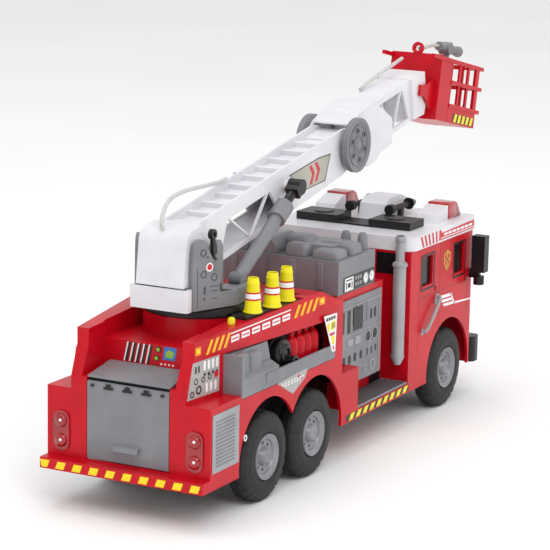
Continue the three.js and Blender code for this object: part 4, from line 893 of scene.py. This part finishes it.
for side, sign in SIDES:
    cheek = on_cheek(sign)
    # the dark grey rings, marks and lines are painted shade round the cheeks' moulded relief
    rings(f"cheek_rings_{side}", "turntable", "dark_grey", cheek,
          [(10.4, 201.8, 2.9, 2.2), (10.9, 184.7, 2.9, 2.3), (21.6, 181.6, 3.0, 2.4)], 0.25)
    plates(f"cheek_marks_{side}", "turntable", "dark_grey", cheek,
           [pill(11.2, 12.8, 168.8, 175.2), oval(12.0, 165.2, 0.9, 0.9, 12), oval(14.8, 198.0, 0.8, 0.8, 12),
            pill(27.0, 29.0, 170.0, 176.0)], 0.2)
    plates(f"cheek_lines_{side}", "turntable", "dark_grey", cheek,
           [rect(17.6, 25.6, 174.2, 174.7), rect(18.4, 25.0, 170.4, 171.0), rect(19.2, 24.4, 164.4, 164.9),
            rect(4.8, 5.2, 158.0, 190.0)], 0.12)
    rings(f"cheek_dot_ring_{side}", "turntable", "film_white", cheek, [(16.6, 190.0, 3.4, 2.4)], 0.25)
    plates(f"cheek_dot_{side}", "turntable", "film_red", cheek, [oval(16.6, 190.0, 2.5, 2.5, 20)], 0.25)

    girder = tilted(BOOM_AT, BOOM_RISE, sign, BOOM_SIDE)
    # the recessed side panel: a dark grey rim and a grey field, both painted shade in the recess
    panel_shape = [(160.0, 20.6), (214.0, 19.0), (236.6, 15.6), (223.4, -5.0), (188.0, -1.4)]
    plates(f"boom_panel_rim_{side}", "boom", "dark_grey", girder, [panel_shape], 0.15)
    field = [(198 + (a - 198) * 0.95, 8.4 + (b - 8.4) * 0.92) for a, b in panel_shape]
    plates(f"boom_panel_{side}", "boom", "recess_shade_grey", girder, [field], 0.25)
    plates(f"boom_chevrons_{side}", "boom", "film_red", girder,
           [[(194 + 10 * k, 0.6), (198.6 + 10 * k, 0.2), (205 + 10 * k, 8.4), (200.6 + 10 * k, 16.6),
             (196 + 10 * k, 16.8), (200.2 + 10 * k, 8.4)] for k in range(2)], 0.35)
    disc = tilted(BOOM_AT, BOOM_RISE, sign, KNEE_SIDE)
    x, z = KNEE_ALONG
    # black discs in the knee's six holes: painted shade
    plates(f"knee_hole_shade_{side}", "boom", "black_abs", disc,
           circles_round(x, z, 13.0, 2.1, 6, 18, 0.5), 0.15)
    rings(f"knee_rings_{side}", "boom", "grey_abs", disc,
          [(x, z, 18.4, 17.2), (x, z, 8.6, 7.6), (x, z, 4.2, 2.0)]
          + [(x + 13.0 * c, z + 13.0 * s, 2.9, 2.1) for c, s in around(6, 0.5)], 0.7)

# ---------------------------------------------------------------- basket

for side, sign in SIDES:
    tub = tilted(BASKET_AT, BASKET_DROP, sign, BASKET_SIDE)
    plates(f"basket_band_{side}", "basket", "film_black", tub,
           [rect(63.0, 112.0, -22.6, -14.4)], 0.1)
    plates(f"basket_stripes_{side}", "basket", "film_yellow", tub,
           [rect(65.0 + 9.6 * k, 70.6 + 9.6 * k, -22.4, -14.6, 2.6) for k in range(5)], 0.14, lift=0.12)
    # the seam line is painted shade, drawn in the shaded red
    plates(f"basket_seam_{side}", "basket", "painted_shade_red", tub, [rect(49.6, 50.1, -23.4, 30.0)], 0.06)

# ---------------------------------------------------------------- stacks

for side, sign in SIDES:
    at = lambda a, b, h: Vector((46.2 + a, sign * 66 + b, h)) * MM
    # a black disc across the top of each stack: painted shade in its open mouth
    turned(f"stack_opening_shade_{side}", "truck", "black_abs",
           [(0, 173.65), (3.1, 173.65), (3.1, 173.9), (0, 173.9)], at, 24)
    for k, (radius, z) in enumerate(((6.9, 147.6), (6.1, 66.0), (4.9, 170.4))):
        turned(f"stack_band_{k + 1}_{side}", "truck", "stack_silver",
               [(radius - 0.8, z - 0.9), (radius, z - 0.6), (radius, z + 0.6), (radius - 0.8, z + 0.9)], at, 32)

# ---------------------------------------------------------------- studio

FLOOR_HALF = 6.0
# name, place in metres, width in metres and power in watts
LAMPS = (("key", (-1.8, -1.6, 2.4), 1.4, 26), ("fill", (1.6, -2.4, 1.2), 1.8, 7), ("top", (0.0, 0.3, 2.8), 1.8, 18))
LAMP_AIM = Vector((0, 0, 0.12))


def studio():
    """A plain pale floor and soft, even light from large lamps."""
    work = bmesh.new()
    corners = ((-1, -1), (1, -1), (1, 1), (-1, 1))
    work.faces.new([work.verts.new((FLOOR_HALF * a, FLOOR_HALF * b, 0)) for a, b in corners])
    data = bpy.data.meshes.new("floor")
    work.to_mesh(data)
    work.free()
    floor = bpy.data.objects.new("floor", data)
    bpy.context.scene.collection.objects.link(floor)
    material, tree, mm = new_material("pale_studio_floor")
    data.materials.append(surface(material, tree, {"Roughness": 0.95, "Specular IOR Level": 0.1},
                                  {"Base Color": blend(tree, noise(tree, mm, 400, 2.0), "f7f7f7", "ffffff")}))
    world = bpy.data.worlds.new("studio")
    world.use_nodes = True
    world.node_tree.nodes["Background"].inputs["Color"].default_value = (1, 1, 1, 1)
    world.node_tree.nodes["Background"].inputs["Strength"].default_value = 0.8
    bpy.context.scene.world = world
    for name, at, size, power in LAMPS:
        lamp = bpy.data.lights.new(name, "AREA")
        lamp.shape = "SQUARE"
        lamp.size = size
        lamp.energy = power
        stand = bpy.data.objects.new(name, lamp)
        stand.location = at
        stand.rotation_euler = (Vector(at) - LAMP_AIM).to_track_quat("Z", "Y").to_euler()
        bpy.context.scene.collection.objects.link(stand)
    bpy.context.scene.view_settings.view_transform = "Standard"


studio()

bpy.context.view_layer.update()
